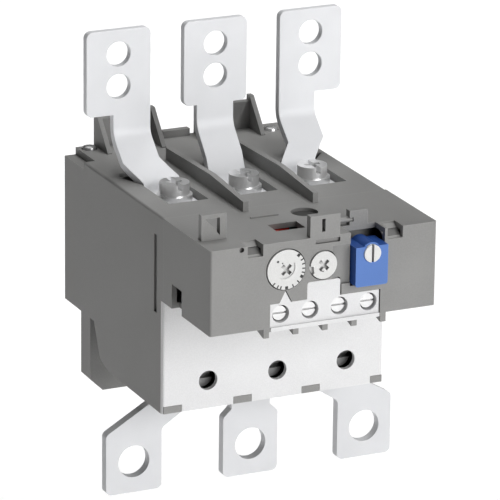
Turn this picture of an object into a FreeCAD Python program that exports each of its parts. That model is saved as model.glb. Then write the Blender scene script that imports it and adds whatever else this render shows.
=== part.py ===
import FreeCAD, Part
import os
import re
import Sketcher
from FreeCAD import Placement, Rotation, Vector

# Thermal overload relay for three poles, hanging from its line bars.
# Frame: X right, Y back, Z up, millimetres. The origin is the centre of the upper hole
# of the middle line bar, on the front face of the plates.
# Names ending in _drop are depths under the origin, names ending in _front are distances
# in front of it, and names ending in _back are distances behind it.

SIZES = {
    # line bars
    "line_pitch": 35.0,
    "line_hole_radius": 4.25,
    "line_hole_step": 11.1,
    "bar_thick": 2.8,
    "plate_wide": 23.0,
    "plate_rise": 8.2,
    "plate_drop": 20.8,
    "plate_corner": 2.2,
    "neck_wide": 13.4,
    "bend_drop": 28.6,
    "jog_start": 5.6,
    "jog_end": 13.6,
    "outer_knee_front": 8.5,
    "outer_knee_drop": 37.4,
    "outer_toe_front": 15.0,
    "outer_toe_drop": 41.2,
    "outer_toe_run": 3.6,
    "middle_toe_front": 13.4,
    # poles and casing
    "pole_pitch": 25.0,
    "case_shift": -1.3,
    "case_wide": 79.8,
    "case_drop": 40.7,
    "case_back": 31.7,
    "case_front": 51.2,
    "case_deep_drop": 108.1,
    "heel_back": 6.4,
    "heel_slope": 5.2,
    "heel_long": 13.0,
    "heel_rise": 2.4,
    "heel_round": 4.0,
    "rear_rise": 13.9,
    "foot_near": 9.6,
    "foot_thick": 7.9,
    "foot_fall": 12.6,
    "foot_corner": 4.6,
    "wall": 1.8,
    "partition": 2.0,
    "chamber_top_drop": 56.0,
    "chamber_floor": 4.0,
    "chamber_rear": 9.0,
    "edge_round": 0.8,
    "ledge_wide": 4.0,
    "ledge_long": 17.0,
    "ledge_deep": 2.5,
    "groove_deep": 0.8,
    "groove_near": 5.1,
    "groove_wide": 2.4,
    "groove_top": 7.2,
    "groove_long": 26.6,
    # fences, hoods and curb on the top
    "fence_over": 3.6,
    "fence_front_rise": 3.4,
    "fence_rise": 5.2,
    "fence_crest_front": 29.0,
    "fence_back": 7.0,
    "fence_back_rise": 4.2,
    "root": 1.0,
    "hood_shift": 18.5,
    "hood_wide": 21.5,
    "hood_thick": 2.4,
    "hood_rise": 9.7,
    "fin_thick": 1.6,
    "fin_rise": 11.6,
    "fin_long": 12.2,
    "fin_toe": 0.4,
    "curb_left": 5.8,
    "curb_right": 4.0,
    "curb_rise": 2.5,
    # rear screws
    "rear_left_x": -33.6,
    "rear_left_inset": 3.4,
    "rear_right_x": 32.5,
    "rear_right_inset": 6.7,
    "rear_head_radius": 2.4,
    "rear_head_high": 2.0,
    "rear_shank_radius": 1.5,
    "rear_shank_long": 9.0,
    "small_slot_wide": 0.7,
    "small_slot_deep": 0.9,
    # troughs and line clamps
    "trough_front": 37.9,
    "pad_lift": 0.1,
    "pad_wide": 13.4,
    "pad_front": 37.5,
    "clamp_front": 26.0,
    "clamp_head_radius": 5.0,
    "clamp_head_high": 4.0,
    "clamp_shank_radius": 2.5,
    "clamp_shank_long": 11.5,
    "washer_radius": 6.0,
    "washer_thick": 2.0,
    "nut_wide": 8.0,
    "nut_thick": 3.6,
    "nut_roof": 3.0,
    "slot_wide": 1.7,
    "slot_deep": 2.0,
    "cross_share": 0.55,
    # heater ribbons and bimetal strips
    "ribbon_thick": 1.4,
    "ribbon_wide": 9.0,
    "ribbon_near": 15.6,
    "ribbon_shift": 2.0,
    "ribbon_end": 1.0,
    "ribbon_turn_high": 4.0,
    "ribbon_turn_back": 3.0,
    "ribbon_foot_high": 1.4,
    "ribbon_foot_low": 1.5,
    "strip_thick": 0.8,
    "strip_side": 4.4,
    "strip_deep": 8.0,
    "strip_under": 0.8,
    "strip_foot_fall": 4.0,
    "strip_foot_gap": 2.4,
    # load tabs
    "tab_pitch": 42.5,
    "tab_wide": 20.0,
    "tab_front": 30.9,
    "tab_thick": 3.5,
    "tab_drop": 142.2,
    "tab_shoulder_drop": 120.9,
    "tab_hole_radius": 5.6,
    "tab_hole_drop": 131.3,
    "tab_top_rise": 18.1,
    "tab_neck_wide": 14.1,
    "tab_slant": 12.0,
    "tab_slant_share": 0.8,
    "tab_notch": 2.9,
    "tab_corner": 2.0,
    "load_screw_rise": 9.8,
    "load_head_radius": 3.7,
    "load_head_high": 3.4,
    "load_head_front": 46.5,
    "load_shank_radius": 2.2,
    "load_shank_end": 21.5,
    "load_nut_wide": 7.2,
    "load_nut_thick": 3.0,
    # front panel
    "panel_thick": 1.8,
    "panel_gap": 0.15,
    "panel_lift": 0.2,
    "panel_hole_radius": 3.35,
    "panel_drop": 107.9,
    "clip_high": 2.4,
    "clip_wide": 6.4,
    "clip_first_left": -40.8,
    "clip_second_left": -15.7,
    "clip_third_left": 9.1,
    "clip_last_left": 34.3,
    "clip_last_wide": 4.2,
    # head cover
    "head_front": 87.7,
    "shelf_thick": 1.2,
    "shelf_deep": 9.0,
    "rib_wide": 1.9,
    "rib_long": 8.0,
    "rib_fall": 3.15,
    "rib_tip": 0.8,
    "sill_over": 1.5,
    "bridge_front": 77.0,
    "bridge_thick": 2.0,
    "bridge_lift": 1.5,
    "bridge_over": 6.9,
    "window_left": 13.3,
    "window_wide": 10.2,
    "window_front": 77.0,
    "window_deep": 7.0,
    "flag_room": 1.7,
    "ridge_left": 2.2,
    "ridge_long": 9.8,
    "ridge_back": 7.6,
    "ridge_thick": 0.6,
    "ridge_high": 0.5,
    "pit_x": 3.5,
    "pit_inset": 11.2,
    "pit_deep": 1.2,
    "pit_radius": 4.5,
    "ramp_left_x": -28.4,
    "ramp_right_x": 20.9,
    "ramp_wide": 5.5,
    "ramp_deep": 3.9,
    "ramp_lip": 1.2,
    "ramp_long": 6.2,
    "ramp_shallow": 0.6,
    "dot_x": -30.4,
    "dot_step": 0.9,
    "dot_radius": 0.85,
    "gate_front": 65.8,
    "gate_wide": 7.9,
    "gate_high": 8.35,
    "hollow_x": 5.0,
    "hollow_out": 4.9,
    "hollow_radius": 6.0,
    "hollow_step": 0.7,
    # lugs and latch
    "lug_left": 6.5,
    "lug_right": 4.0,
    "lug_slot_left": 2.4,
    "lug_slot_wide": 1.2,
    "lug_slot_high": 1.6,
    "lug_groove_left": 4.6,
    "lug_groove_wide": 8.7,
    "lug_groove_step": 0.8,
    "lug_groove_high": 1.5,
    "lug_groove_deep": 0.9,
    "lug_thick": 2.6,
    "rear_lug_left": 3.1,
    "rear_lug_right": 3.3,
    "rear_lug_step": 2.3,
    "rear_lug_notch": 1.4,
    "post_left": 7.1,
    "post_rise": 1.6,
    "post_radius": 0.9,
    "block_wide": 1.2,
    "block_rise": 2.6,
    "latch_inset": 1.6,
    "latch_thick": 2.4,
    "latch_frame": 1.3,
    "latch_post": 2.2,
    "lug_top_drop": 33.6,
    "latch_wide": 8.6,
    "latch_front": 76.0,
    "latch_top_drop": 32.2,
    # auxiliary terminals
    "aux_mid": -0.75,
    "aux_pitch": 10.35,
    "aux_wide": 38.5,
    "aux_front": 87.2,
    "aux_deep": 21.2,
    "aux_high": 7.85,
    "label_left": 7.0,
    "label_wide": 11.6,
    "label_high": 5.7,
    "pointer_x": -14.75,
    "pointer_high": 3.8,
    "pointer_wide": 4.2,
    "upstand_thick": 1.5,
    "aux_top_drop": 61.3,
    "aux_screw_step": 3.6,
    "well_radius": 3.0,
    "well_deep": 5.0,
    "aux_head_radius": 2.4,
    "aux_head_high": 2.0,
    "aux_head_sink": 1.2,
    "aux_shank_radius": 1.5,
    "aux_shank_long": 12.0,
    "aux_clamp_wide": 6.2,
    "aux_clamp_thick": 1.2,
    "aux_clamp_fall": 3.6,
    "aux_clamp_rise": 2.4,
    "aux_clamp_room": 3.0,
    "aux_roof": 0.9,
    # dials
    "dial_x": -14.9,
    "dial_drop": 50.0,
    "dial_radius": 6.6,
    "dial_front": 88.1,
    "dial_thick": 1.5,
    "dial_shaft_radius": 2.5,
    "cam_radius": 3.8,
    "cam_offset": 1.0,
    "cam_thick": 3.0,
    "cam_gap": 0.4,
    "cross_reach": 1.5,
    "cross_half": 0.42,
    "cross_deep": 1.2,
    "arc_radius": 3.4,
    "arc_shift": 0.8,
    "arc_high": 0.4,
    "selector_x": -1.7,
    "selector_drop": 50.2,
    "selector_radius": 4.6,
    "selector_front": 88.1,
    "selector_shaft_radius": 1.9,
    "selector_thick": 1.5,
    "notch_share": 0.72,
    "notch_deep": 1.2,
    # reset button and stud
    "button_x": 13.9,
    "button_wide": 11.4,
    "button_front": 91.0,
    "button_deep": 10.0,
    "button_top_drop": 45.0,
    "button_low_drop": 58.2,
    "stem_radius": 1.6,
    "stem_drop": 54.3,
    "stem_end": 71.5,
    "spring_seat": 86.6,
    "spring_bore": 3.0,
    "spring_radius": 2.3,
    "spring_wire": 0.35,
    "spring_turns": 4.0,
    "spring_end_gap": 0.05,
    "stud_x": 13.9,
    "stud_drop": 47.3,
    "stud_radius": 2.9,
    "stud_front": 91.6,
    "stud_neck_radius": 1.6,
    "stud_seat": 7.0,
    "stud_tail": 0.6,
    "stud_slot_wide": 0.9,
    "stud_slot_deep": 1.3,
    # trip mechanism
    "slider_front": 25.0,
    "slider_deep": 5.0,
    "slider_top_drop": 57.4,
    "slider_high": 2.4,
    "slider_left": 36.0,
    "slider_right": 28.0,
    "slider_beam_right": 33.0,
    "slider_arm_wide": 3.0,
    "slider_arm_front": 59.5,
    "slider_travel": 3.0,
    "finger_wide": 1.6,
    "finger_high": 6.0,
    "finger_deep": 3.0,
    "lever_x": 29.5,
    "lever_front": 71.0,
    "lever_top_drop": 56.0,
    "lever_high": 4.0,
    "lever_arm_front": 57.0,
    "lever_arm_wide": 2.2,
    "lever_nose_x": 9.0,
    "lever_nose_front": 62.2,
    "lever_nose_half": 1.0,
    "lever_nose_thick": 1.6,
    "lever_root_front": 2.2,
    "lever_root_back": 1.6,
    "hub_radius": 2.7,
    "hub_over": 2.0,
    "pin_radius": 1.2,
    "rocker_x": -9.0,
    "rocker_front": 61.0,
    "rocker_left": 18.0,
    "rocker_right": 12.0,
    "rocker_thick": 1.6,
    "rocker_arm_half": 1.6,
    "rocker_tip_half": 1.0,
    "contact_inset": 2.0,
    "contact_open_x": 3.0,
    "contact_radius": 1.2,
    "contact_thick": 0.5,
    "flag_x": -11.05,
    "flag_wide": 2.3,
    "flag_near": 77.0,
    "flag_deep": 4.5,
    "flag_top_drop": 43.3,
    "flag_thick": 1.2,
    "leaf_thick": 0.5,
    "leaf_wide": 4.0,
    "leaf_open_gap": 3.6,
    "pin_seat": 0.8,
    # clearances, and how far a cut runs past the face that it opens
    "past": 1.0,
    "slide_gap": 0.3,
    "running_gap": 0.4,
    "shaft_gap": 0.05,
}

doc = FreeCAD.newDocument("overload_relay")
sheet = doc.addObject("Spreadsheet::Sheet", "sizes")
for row, (alias, number) in enumerate(SIZES.items(), 1):
    sheet.set("A%d" % row, alias)
    sheet.set("B%d" % row, str(number))
    sheet.setAlias("B%d" % row, alias)
doc.recompute()

WORDS = re.compile(r"\b(" + "|".join(sorted(SIZES, key=len, reverse=True)) + r")\b")
POLES = (-1, 0, 1)
SIDES = {-1: "left", 0: "middle", 1: "right"}
parts = []


def named(text):
    """The expression with each size read from the sheet."""
    return WORDS.sub(r"sizes.\1", str(text))


def value(text):
    """The number that an expression gives now."""
    return float(sheet.evalExpression(named(text)))


def bind(thing, name, text):
    thing.setExpression(name, named(text))


def new_body(label):
    home = doc.addObject("PartDesign::Body", label)
    home.Label = label
    home.AllowCompound = True
    parts.append(home)
    return home


def origin_plane(home, role):
    return [item for item in home.Origin.OriginFeatures if item.Role == role][0]


def outline(home, plane, level, corners):
    """A closed outline through corners, on a plane of the body moved out to a level."""
    sketch = home.newObject("Sketcher::SketchObject", "outline")
    sketch.AttachmentSupport = [(origin_plane(home, plane + "_Plane"), "")]
    sketch.MapMode = "FlatFace"
    bind(sketch, "AttachmentOffset.Base.z", "-(%s)" % level if plane == "XZ" else level)
    count = len(corners)
    spots = [Vector(value(across), value(up), 0) for across, up in corners]
    for index in range(count):
        line = Part.LineSegment(spots[index], spots[(index + 1) % count])
        sketch.addGeometry(line, False)
    for index in range(count):
        joint = Sketcher.Constraint("Coincident", index, 2, (index + 1) % count, 1)
        sketch.addConstraint(joint)
    for index, corner in enumerate(corners):
        for kind, text in zip(("DistanceX", "DistanceY"), corner):
            held = Sketcher.Constraint(kind, -1, 1, index, 1, value(text))
            number = sketch.addConstraint(held)
            bind(sketch, "Constraints[%d]" % number, text)
    return sketch


def prism(home, plane, low, high, corners, cut=False):
    """A straight-sided block of any outline, between two levels on a plane's axis."""
    from_high = (plane == "XZ") != cut
    sketch = outline(home, plane, high if from_high else low, corners)
    kind = "PartDesign::Pocket" if cut else "PartDesign::Pad"
    block = home.newObject(kind, "pocket" if cut else "pad")
    block.Profile = sketch
    bind(block, "Length", "(%s) - (%s)" % (high, low))
    return block


def box(home, across, deep, high, cut=False):
    """A box between two X values, two Y values and two Z values."""
    kind = "PartDesign::SubtractiveBox" if cut else "PartDesign::AdditiveBox"
    block = home.newObject(kind, "box")
    for name, axis, (low, top) in zip(("Length", "Width", "Height"), "xyz",
                                      (across, deep, high)):
        bind(block, name, "(%s) - (%s)" % (top, low))
        bind(block, "Placement.Base." + axis, low)
    return block


TURNS = {"X": Rotation(Vector(0, 1, 0), 90), "Y": Rotation(Vector(1, 0, 0), -90),
         "Z": Rotation()}


def drum(home, axis, across, up, low, high, radius, cut=False):
    """A round bar along an axis, its centre given on the two other axes in turn."""
    kind = "PartDesign::SubtractiveCylinder" if cut else "PartDesign::AdditiveCylinder"
    bar = home.newObject(kind, "drum")
    bar.Placement = Placement(Vector(), TURNS[axis])
    bind(bar, "Radius", radius)
    bind(bar, "Height", "(%s) - (%s)" % (high, low))
    bind(bar, "Placement.Base." + axis.lower(), low)
    others = [name for name in "xyz" if name != axis.lower()]
    bind(bar, "Placement.Base." + others[0], across)
    bind(bar, "Placement.Base." + others[1], up)
    return bar


def edges_at(home, axis, spots):
    """The names of the body's edges that run along an axis through the given spots."""
    doc.recompute()
    others = [index for index in range(3) if index != "XYZ".index(axis)]
    found = []
    for number, edge in enumerate(home.Tip.Shape.Edges, 1):
        if edge.Curve.TypeId != "Part::GeomLine":
            continue
        ends = [vertex.Point for vertex in edge.Vertexes]
        run = ends[1] - ends[0]
        if abs(run["XYZ".index(axis)]) < 0.999 * run.Length:
            continue
        for spot in spots:
            if all(abs(ends[0][other] - value(text)) < 0.01
                   for other, text in zip(others, spot)):
                found.append("Edge%d" % number)
                break
    return found


def dress(home, kind, size, axis, spots):
    """A Fillet or a Chamfer on the edges along an axis through the given spots."""
    names = edges_at(home, axis, spots)
    feature_before = home.Tip
    dressed = home.newObject("PartDesign::" + kind, kind.lower())
    dressed.Base = (feature_before, names)
    bind(dressed, "Radius" if kind == "Fillet" else "Size", size)
    return dressed


def strip(label, line, low, high, thick):
    """A bent strip: a line on the YZ plane, half a thickness to each side, along X."""
    sketch = doc.addObject("Sketcher::SketchObject", label + "_line")
    sketch.Placement = Placement(Vector(), Rotation(Vector(1, 1, 1), 120))
    bind(sketch, "Placement.Base.x", low)
    spots = [Vector(value(across), value(up), 0) for across, up in line]
    for start, end in zip(spots, spots[1:]):
        sketch.addGeometry(Part.LineSegment(start, end), False)
    for index in range(len(line) - 2):
        sketch.addConstraint(Sketcher.Constraint("Coincident", index, 2, index + 1, 1))
    for index, point in enumerate(line):
        last = index == len(line) - 1
        place = (index - 1, 2) if last else (index, 1)
        for kind, text in zip(("DistanceX", "DistanceY"), point):
            held = Sketcher.Constraint(kind, -1, 1, place[0], place[1], value(text))
            number = sketch.addConstraint(held)
            bind(sketch, "Constraints[%d]" % number, text)
    skin = doc.addObject("Part::Offset2D", label + "_skin")
    skin.Source = sketch
    skin.Mode = "Pipe"
    skin.Join = "Intersection"
    skin.Fill = True
    bind(skin, "Value", "(%s) / 2" % thick)
    sheet_bar = doc.addObject("Part::Extrusion", label + "_blank")
    sheet_bar.Base = skin
    sheet_bar.DirMode = "Custom"
    sheet_bar.Dir = Vector(1, 0, 0)
    sheet_bar.Solid = True
    bind(sheet_bar, "LengthFwd", "(%s) - (%s)" % (high, low))
    doc.recompute()
    home = new_body(label)
    home.BaseFeature = sheet_bar
    return home


# Places that several pieces share, as expressions of the sizes.
CASE_LEFT = "(case_shift - case_wide / 2)"
CASE_RIGHT = "(case_shift + case_wide / 2)"
CASE_TOP = "(-case_drop)"
CASE_LOW = "(-case_deep_drop)"
REAR_LOW = "(-case_deep_drop + rear_rise)"
FOOT_LOW = "(-case_deep_drop - foot_fall)"
AUX_TOP = "(-aux_top_drop)"
HEAD_LOW = "(-aux_top_drop - aux_high)"
LOAD_SCREW = "(-case_deep_drop + load_screw_rise)"
TAB_TOP = "(-case_deep_drop + tab_top_rise)"
TAB_NECK = "(-tab_shoulder_drop + tab_slant)"
TOOTH_LOW = "(-case_deep_drop + panel_lift)"
PAD_TOP = "(-case_drop - bar_thick + pad_lift)"
LUG_TOP = "(%s - bar_thick)" % PAD_TOP
TROUGH_FLOOR = "(%s - ribbon_thick)" % LUG_TOP
BRIDGE_BACK = "(-bridge_front + bridge_thick)"
TAB_BACK = "(-tab_front + tab_thick)"
HUB_LOW = "(-lever_top_drop - lever_high - hub_over)"
REAR_SCREWS = (("rear_left_x", "case_back - rear_left_inset"),
               ("rear_right_x", "case_back - rear_right_inset"))
REAR_SEAT = "(-case_drop - ledge_deep)"
CLIPS = (("clip_first_left", "clip_wide"), ("clip_second_left", "clip_wide"),
         ("clip_third_left", "clip_wide"), ("clip_last_left", "clip_last_wide"))
PIVOTS = (("lever_x", "-lever_front"), ("rocker_x", "-rocker_front"))


def pole_x(pole):
    return "(case_shift + (%d) * pole_pitch)" % pole


def neck_x(pole):
    return "((%d) * (line_pitch - plate_wide / 2 + neck_wide / 2))" % pole


def load_x(pole):
    return "((%d) * pole_pitch)" % pole


def tab_outline(pole, gap):
    """The corners of a load tab seen from the front, made wider by a gap."""
    centre = "((%d) * tab_pitch)" % pole
    low = "%s - tab_wide / 2 - %s" % (centre, gap)
    high = "%s + tab_wide / 2 + %s" % (centre, gap)
    neck_low = "%s - tab_neck_wide / 2 - %s" % (load_x(pole), gap)
    neck_high = "%s + tab_neck_wide / 2 + %s" % (load_x(pole), gap)
    far = "(-tab_shoulder_drop + tab_slant_share * tab_slant)"
    left, right = {-1: (TAB_NECK, far), 1: (far, TAB_NECK),
                   0: ("(-tab_shoulder_drop + tab_notch)",) * 2}[pole]
    return [(low, "-tab_drop"), (high, "-tab_drop"), (high, "-tab_shoulder_drop + " + gap),
            (neck_high, right + " + " + gap), (neck_high, TAB_TOP), (neck_low, TAB_TOP),
            (neck_low, left + " + " + gap), (low, "-tab_shoulder_drop + " + gap)]


def make_main_housing():
    """The dark casing: three pole chambers, top troughs, rear hoods and the foot."""
    home = new_body("main_housing")
    front = "-case_front"
    face = "(-case_front + panel_thick)"
    prism(home, "YZ", CASE_LEFT, CASE_RIGHT, [
        (front, CASE_TOP), ("case_back", CASE_TOP), ("case_back", REAR_LOW),
        ("foot_near + foot_thick", REAR_LOW), ("foot_near + foot_thick", FOOT_LOW),
        ("foot_near", FOOT_LOW), ("foot_near", REAR_LOW), ("heel_back", REAR_LOW),
        ("heel_back - heel_slope", CASE_LOW + " + heel_rise"),
        ("heel_back - heel_long", CASE_LOW), (face, CASE_LOW), (face, HEAD_LOW),
        (front, HEAD_LOW)])
    dress(home, "Fillet", "heel_round", "X", [
        ("heel_back - heel_slope", CASE_LOW + " + heel_rise")])
    dress(home, "Chamfer", "foot_corner", "Y", [(CASE_LEFT, FOOT_LOW), (CASE_RIGHT, FOOT_LOW)])
    dress(home, "Fillet", "edge_round", "Y", [(CASE_LEFT, CASE_TOP), (CASE_RIGHT, CASE_TOP)])
    # one chamber for each pole, between the side walls and two partitions
    for pole in POLES:
        left = "%s + wall" % CASE_LEFT
        right = "%s - wall" % CASE_RIGHT
        if pole > -1:
            left = "%s - (pole_pitch - partition) / 2" % pole_x(pole)
        if pole < 1:
            right = "%s + (pole_pitch - partition) / 2" % pole_x(pole)
        box(home, (left, right), (face, "-chamber_rear"),
            (CASE_LOW + " + chamber_floor", "-chamber_top_drop"), cut=True)
        # the slot in the floor that the load tab comes down through, with its outline
        prism(home, "XZ", "-tab_front - slide_gap", TAB_BACK + " + slide_gap",
              tab_outline(pole, "running_gap"), cut=True)
        # the trough for the pad of the line bar
        neck = neck_x(pole)
        prism(home, "XY", TROUGH_FLOOR, CASE_TOP + " + past", [
            (neck + " - neck_wide / 2 - slide_gap", "-jog_start"),
            (pole_x(pole) + " - pad_wide / 2 - slide_gap", "-jog_end"),
            (pole_x(pole) + " - pad_wide / 2 - slide_gap", "-trough_front"),
            (pole_x(pole) + " + pad_wide / 2 + slide_gap", "-trough_front"),
            (pole_x(pole) + " + pad_wide / 2 + slide_gap", "-jog_end"),
            (neck + " + neck_wide / 2 + slide_gap", "-jog_start")], cut=True)
        # the screw hole and the pocket of the square nut
        drum(home, "Z", pole_x(pole), "-clamp_front", "-chamber_top_drop",
             TROUGH_FLOOR + " + past", "clamp_shank_radius + slide_gap", cut=True)
        box(home, ("%s - nut_wide / 2 - slide_gap" % pole_x(pole),
                   "%s + nut_wide / 2 + slide_gap" % pole_x(pole)),
            ("-clamp_front - nut_wide / 2 - slide_gap", "-clamp_front + nut_wide / 2 + slide_gap"),
            ("-chamber_top_drop - past", TROUGH_FLOOR + " - nut_roof"), cut=True)
        # the slot that the heater ribbon goes down through
        box(home, ("%s - ribbon_wide / 2 - ribbon_shift - slide_gap" % pole_x(pole),
                   "%s + ribbon_wide / 2 - ribbon_shift + slide_gap" % pole_x(pole)),
            ("-ribbon_near - slide_gap", "-ribbon_near + ribbon_thick + slide_gap"),
            ("-chamber_top_drop - past", LUG_TOP + " + slide_gap"), cut=True)
    # windows for the trip slider in both partitions, and for its arm in the front wall
    window = ("-slider_top_drop - slider_high - running_gap", "-slider_top_drop + running_gap")
    box(home, ("%s - pole_pitch" % pole_x(0), "%s + pole_pitch" % pole_x(0)),
        ("-slider_front - running_gap", "-slider_front + slider_deep + running_gap"), window,
        cut=True)
    box(home, ("slider_right - slider_arm_wide - running_gap",
               "slider_right + slider_travel + running_gap"),
        (front + " - past", face + " + past"), window, cut=True)
    # low fences between the poles, along the top
    for side in (-1, 1):
        middle = "(%s + (%d) * pole_pitch / 2)" % (pole_x(0), side)
        prism(home, "YZ", middle + " - partition / 2", middle + " + partition / 2", [
            (front + " - fence_over", CASE_TOP),
            (front + " - fence_over", CASE_TOP + " + fence_front_rise"),
            ("-fence_crest_front", CASE_TOP + " + fence_rise"),
            ("fence_back", CASE_TOP + " + fence_back_rise"), ("fence_back", CASE_TOP + " - root"),
            (front, CASE_TOP + " - root"), (front, CASE_TOP)])
        # the hood behind an outer gap: a rear wall with a sloping fin at each end
        near = "(%s + (%d) * hood_shift - hood_wide / 2)" % (pole_x(0), side)
        box(home, (near, near + " + hood_wide"), ("case_back - hood_thick", "case_back"),
            (CASE_TOP + " - root", CASE_TOP + " + hood_rise"))
        for fin in (near, near + " + hood_wide - fin_thick"):
            prism(home, "YZ", fin, fin + " + fin_thick", [
                ("case_back - fin_long", CASE_TOP + " - root"),
                ("case_back", CASE_TOP + " - root"), ("case_back", CASE_TOP + " + fin_rise"),
                ("case_back - hood_thick", CASE_TOP + " + fin_rise"),
                ("case_back - fin_long", CASE_TOP + " + fin_toe")])
    box(home, ("-curb_left", "curb_right"), ("case_back - hood_thick", "case_back"),
        (CASE_TOP + " - root", CASE_TOP + " + curb_rise"))
    # teeth that catch the lower edge of the front panel
    for left, wide in CLIPS:
        box(home, (left, left + " + " + wide), (front, face + " + root"),
            (TOOTH_LOW, TOOTH_LOW + " + clip_high"))
    # the ledge behind the left corner, and the grooves down both sides
    box(home, (CASE_LEFT + " - past", CASE_LEFT + " + ledge_wide"),
        ("case_back - ledge_long", "case_back + past"),
        (CASE_TOP + " - ledge_deep", CASE_TOP + " + past"), cut=True)
    for edge in (CASE_LEFT, CASE_RIGHT):
        box(home, (edge + " - groove_deep", edge + " + groove_deep"),
            (front + " + groove_near", front + " + groove_near + groove_wide"),
            (CASE_TOP + " - groove_top - groove_long", CASE_TOP + " - groove_top"), cut=True)
    # blind holes of the two rear screws
    for x, y in REAR_SCREWS:
        drum(home, "Z", x, y, REAR_SEAT + " - rear_shank_long - slide_gap", CASE_TOP + " + past",
             "rear_shank_radius + shaft_gap", cut=True)
        drum(home, "Z", x, y, REAR_SEAT, CASE_TOP + " + past", "rear_head_radius + slide_gap",
             cut=True)


def make_rear_screws():
    home = new_body("rear_fixing_screws")
    top = "(%s + rear_head_high)" % REAR_SEAT
    for x, y in REAR_SCREWS:
        drum(home, "Z", x, y, REAR_SEAT, top, "rear_head_radius")
        drum(home, "Z", x, y, REAR_SEAT + " - rear_shank_long", REAR_SEAT, "rear_shank_radius")
        box(home, (x + " - rear_head_radius - past", x + " + rear_head_radius + past"),
            (y + " - small_slot_wide / 2", y + " + small_slot_wide / 2"),
            (top + " - small_slot_deep", top + " + past"), cut=True)


def make_line_bars():
    """Flat plates that bend forward and down, onto the pads in the troughs."""
    for pole in POLES:
        half = "bar_thick / 2"
        line = [(half, "plate_rise + past"), (half, "-bend_drop")]
        if pole == 0:
            line.append(("-middle_toe_front", PAD_TOP + " - " + half))
        else:
            line.append(("-outer_knee_front", "-outer_knee_drop"))
            line.append(("-outer_toe_front", "-outer_toe_drop"))
            line.append(("-outer_toe_front - outer_toe_run", PAD_TOP + " - " + half))
        line.append(("-pad_front + " + half, PAD_TOP + " - " + half))
        centre = "((%d) * line_pitch)" % pole
        low = centre + " - plate_wide / 2"
        high = centre + " + plate_wide / 2"
        home = strip("line_bar_" + SIDES[pole], line, centre + " - plate_wide",
                     centre + " + plate_wide", "bar_thick")
        for side, edge in ((-1, low), (1, high)):
            beyond = "%s + (%d) * (plate_wide + past)" % (centre, side)
            neck_edge = "%s + (%d) * neck_wide / 2" % (neck_x(pole), side)
            pad_edge = "%s + (%d) * pad_wide / 2" % (pole_x(pole), side)
            prism(home, "XY", "-plate_drop", "plate_rise + past", [
                (beyond, "bar_thick + past"), (edge, "bar_thick + past"), (edge, "-past"),
                (beyond, "-past")], cut=True)
            prism(home, "XY", LUG_TOP + " - past", "-plate_drop", [
                (beyond, "bar_thick + past"), (neck_edge, "bar_thick + past"),
                (neck_edge, "-jog_start"), (pad_edge, "-jog_end"),
                (pad_edge, "-pad_front - past"), (beyond, "-pad_front - past")], cut=True)
        box(home, (centre + " - plate_wide - past", centre + " + plate_wide + past"),
            ("-past", "bar_thick + past"), ("plate_rise", "plate_rise + past + bar_thick"),
            cut=True)
        for step in (0, 1):
            drum(home, "Y", centre, "-(%d) * line_hole_step" % step, "-past", "bar_thick + past",
                 "line_hole_radius", cut=True)
        drum(home, "Z", pole_x(pole), "-clamp_front", LUG_TOP + " - past", PAD_TOP + " + past",
             "clamp_shank_radius + slide_gap", cut=True)
        dress(home, "Fillet", "plate_corner", "Y",
              [(low, "plate_rise"), (high, "plate_rise"), (low, "-plate_drop"),
               (high, "-plate_drop")])


def make_line_clamps():
    """A slotted cheese-head screw with a cross, a washer and a square nut on each pole."""
    screws = new_body("line_clamp_screws")
    washers = new_body("line_clamp_washers")
    nuts = new_body("line_clamp_nuts")
    seat = "(%s + washer_thick)" % PAD_TOP
    top = "(%s + clamp_head_high)" % seat
    nut_top = "(%s - nut_roof)" % TROUGH_FLOOR
    for pole in POLES:
        x = pole_x(pole)
        y = "-clamp_front"
        drum(screws, "Z", x, y, seat, top, "clamp_head_radius")
        drum(screws, "Z", x, y, "%s - clamp_shank_long" % seat, seat, "clamp_shank_radius")
        box(screws, (x + " - slot_wide / 2", x + " + slot_wide / 2"),
            (y + " - clamp_head_radius - past", y + " + clamp_head_radius + past"),
            (top + " - slot_deep", top + " + past"), cut=True)
        box(screws, (x + " - clamp_head_radius * cross_share",
                     x + " + clamp_head_radius * cross_share"),
            (y + " - slot_wide / 2", y + " + slot_wide / 2"),
            (top + " - slot_deep", top + " + past"), cut=True)
        drum(washers, "Z", x, y, PAD_TOP, seat, "washer_radius")
        drum(washers, "Z", x, y, PAD_TOP + " - past", seat + " + past",
             "clamp_shank_radius + slide_gap", cut=True)
        box(nuts, (x + " - nut_wide / 2", x + " + nut_wide / 2"),
            (y + " - nut_wide / 2", y + " + nut_wide / 2"), (nut_top + " - nut_thick", nut_top))
        drum(nuts, "Z", x, y, nut_top + " - nut_thick - past", nut_top + " + past",
             "clamp_shank_radius + shaft_gap", cut=True)


def make_heaters():
    """The ribbon that carries a pole's current from the pad down to the load tab."""
    for pole in POLES:
        half = "ribbon_thick / 2"
        x = pole_x(pole)
        line = [("-pad_front + ribbon_end + " + half, LUG_TOP + " - " + half),
                ("-ribbon_near + " + half, LUG_TOP + " - " + half),
                ("-ribbon_near + " + half, TAB_TOP + " + ribbon_turn_high"),
                (TAB_BACK + " + ribbon_turn_back", TAB_TOP + " + ribbon_turn_high"),
                (TAB_BACK + " + " + half, TAB_TOP + " + ribbon_foot_high"),
                (TAB_BACK + " + " + half, TAB_TOP + " - ribbon_foot_low")]
        home = strip("heater_" + SIDES[pole], line, x + " - ribbon_wide / 2 - ribbon_shift",
                     x + " + ribbon_wide / 2 - ribbon_shift", "ribbon_thick")
        drum(home, "Z", x, "-clamp_front", TROUGH_FLOOR + " - past", LUG_TOP + " + past",
             "clamp_shank_radius + slide_gap", cut=True)


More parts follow.
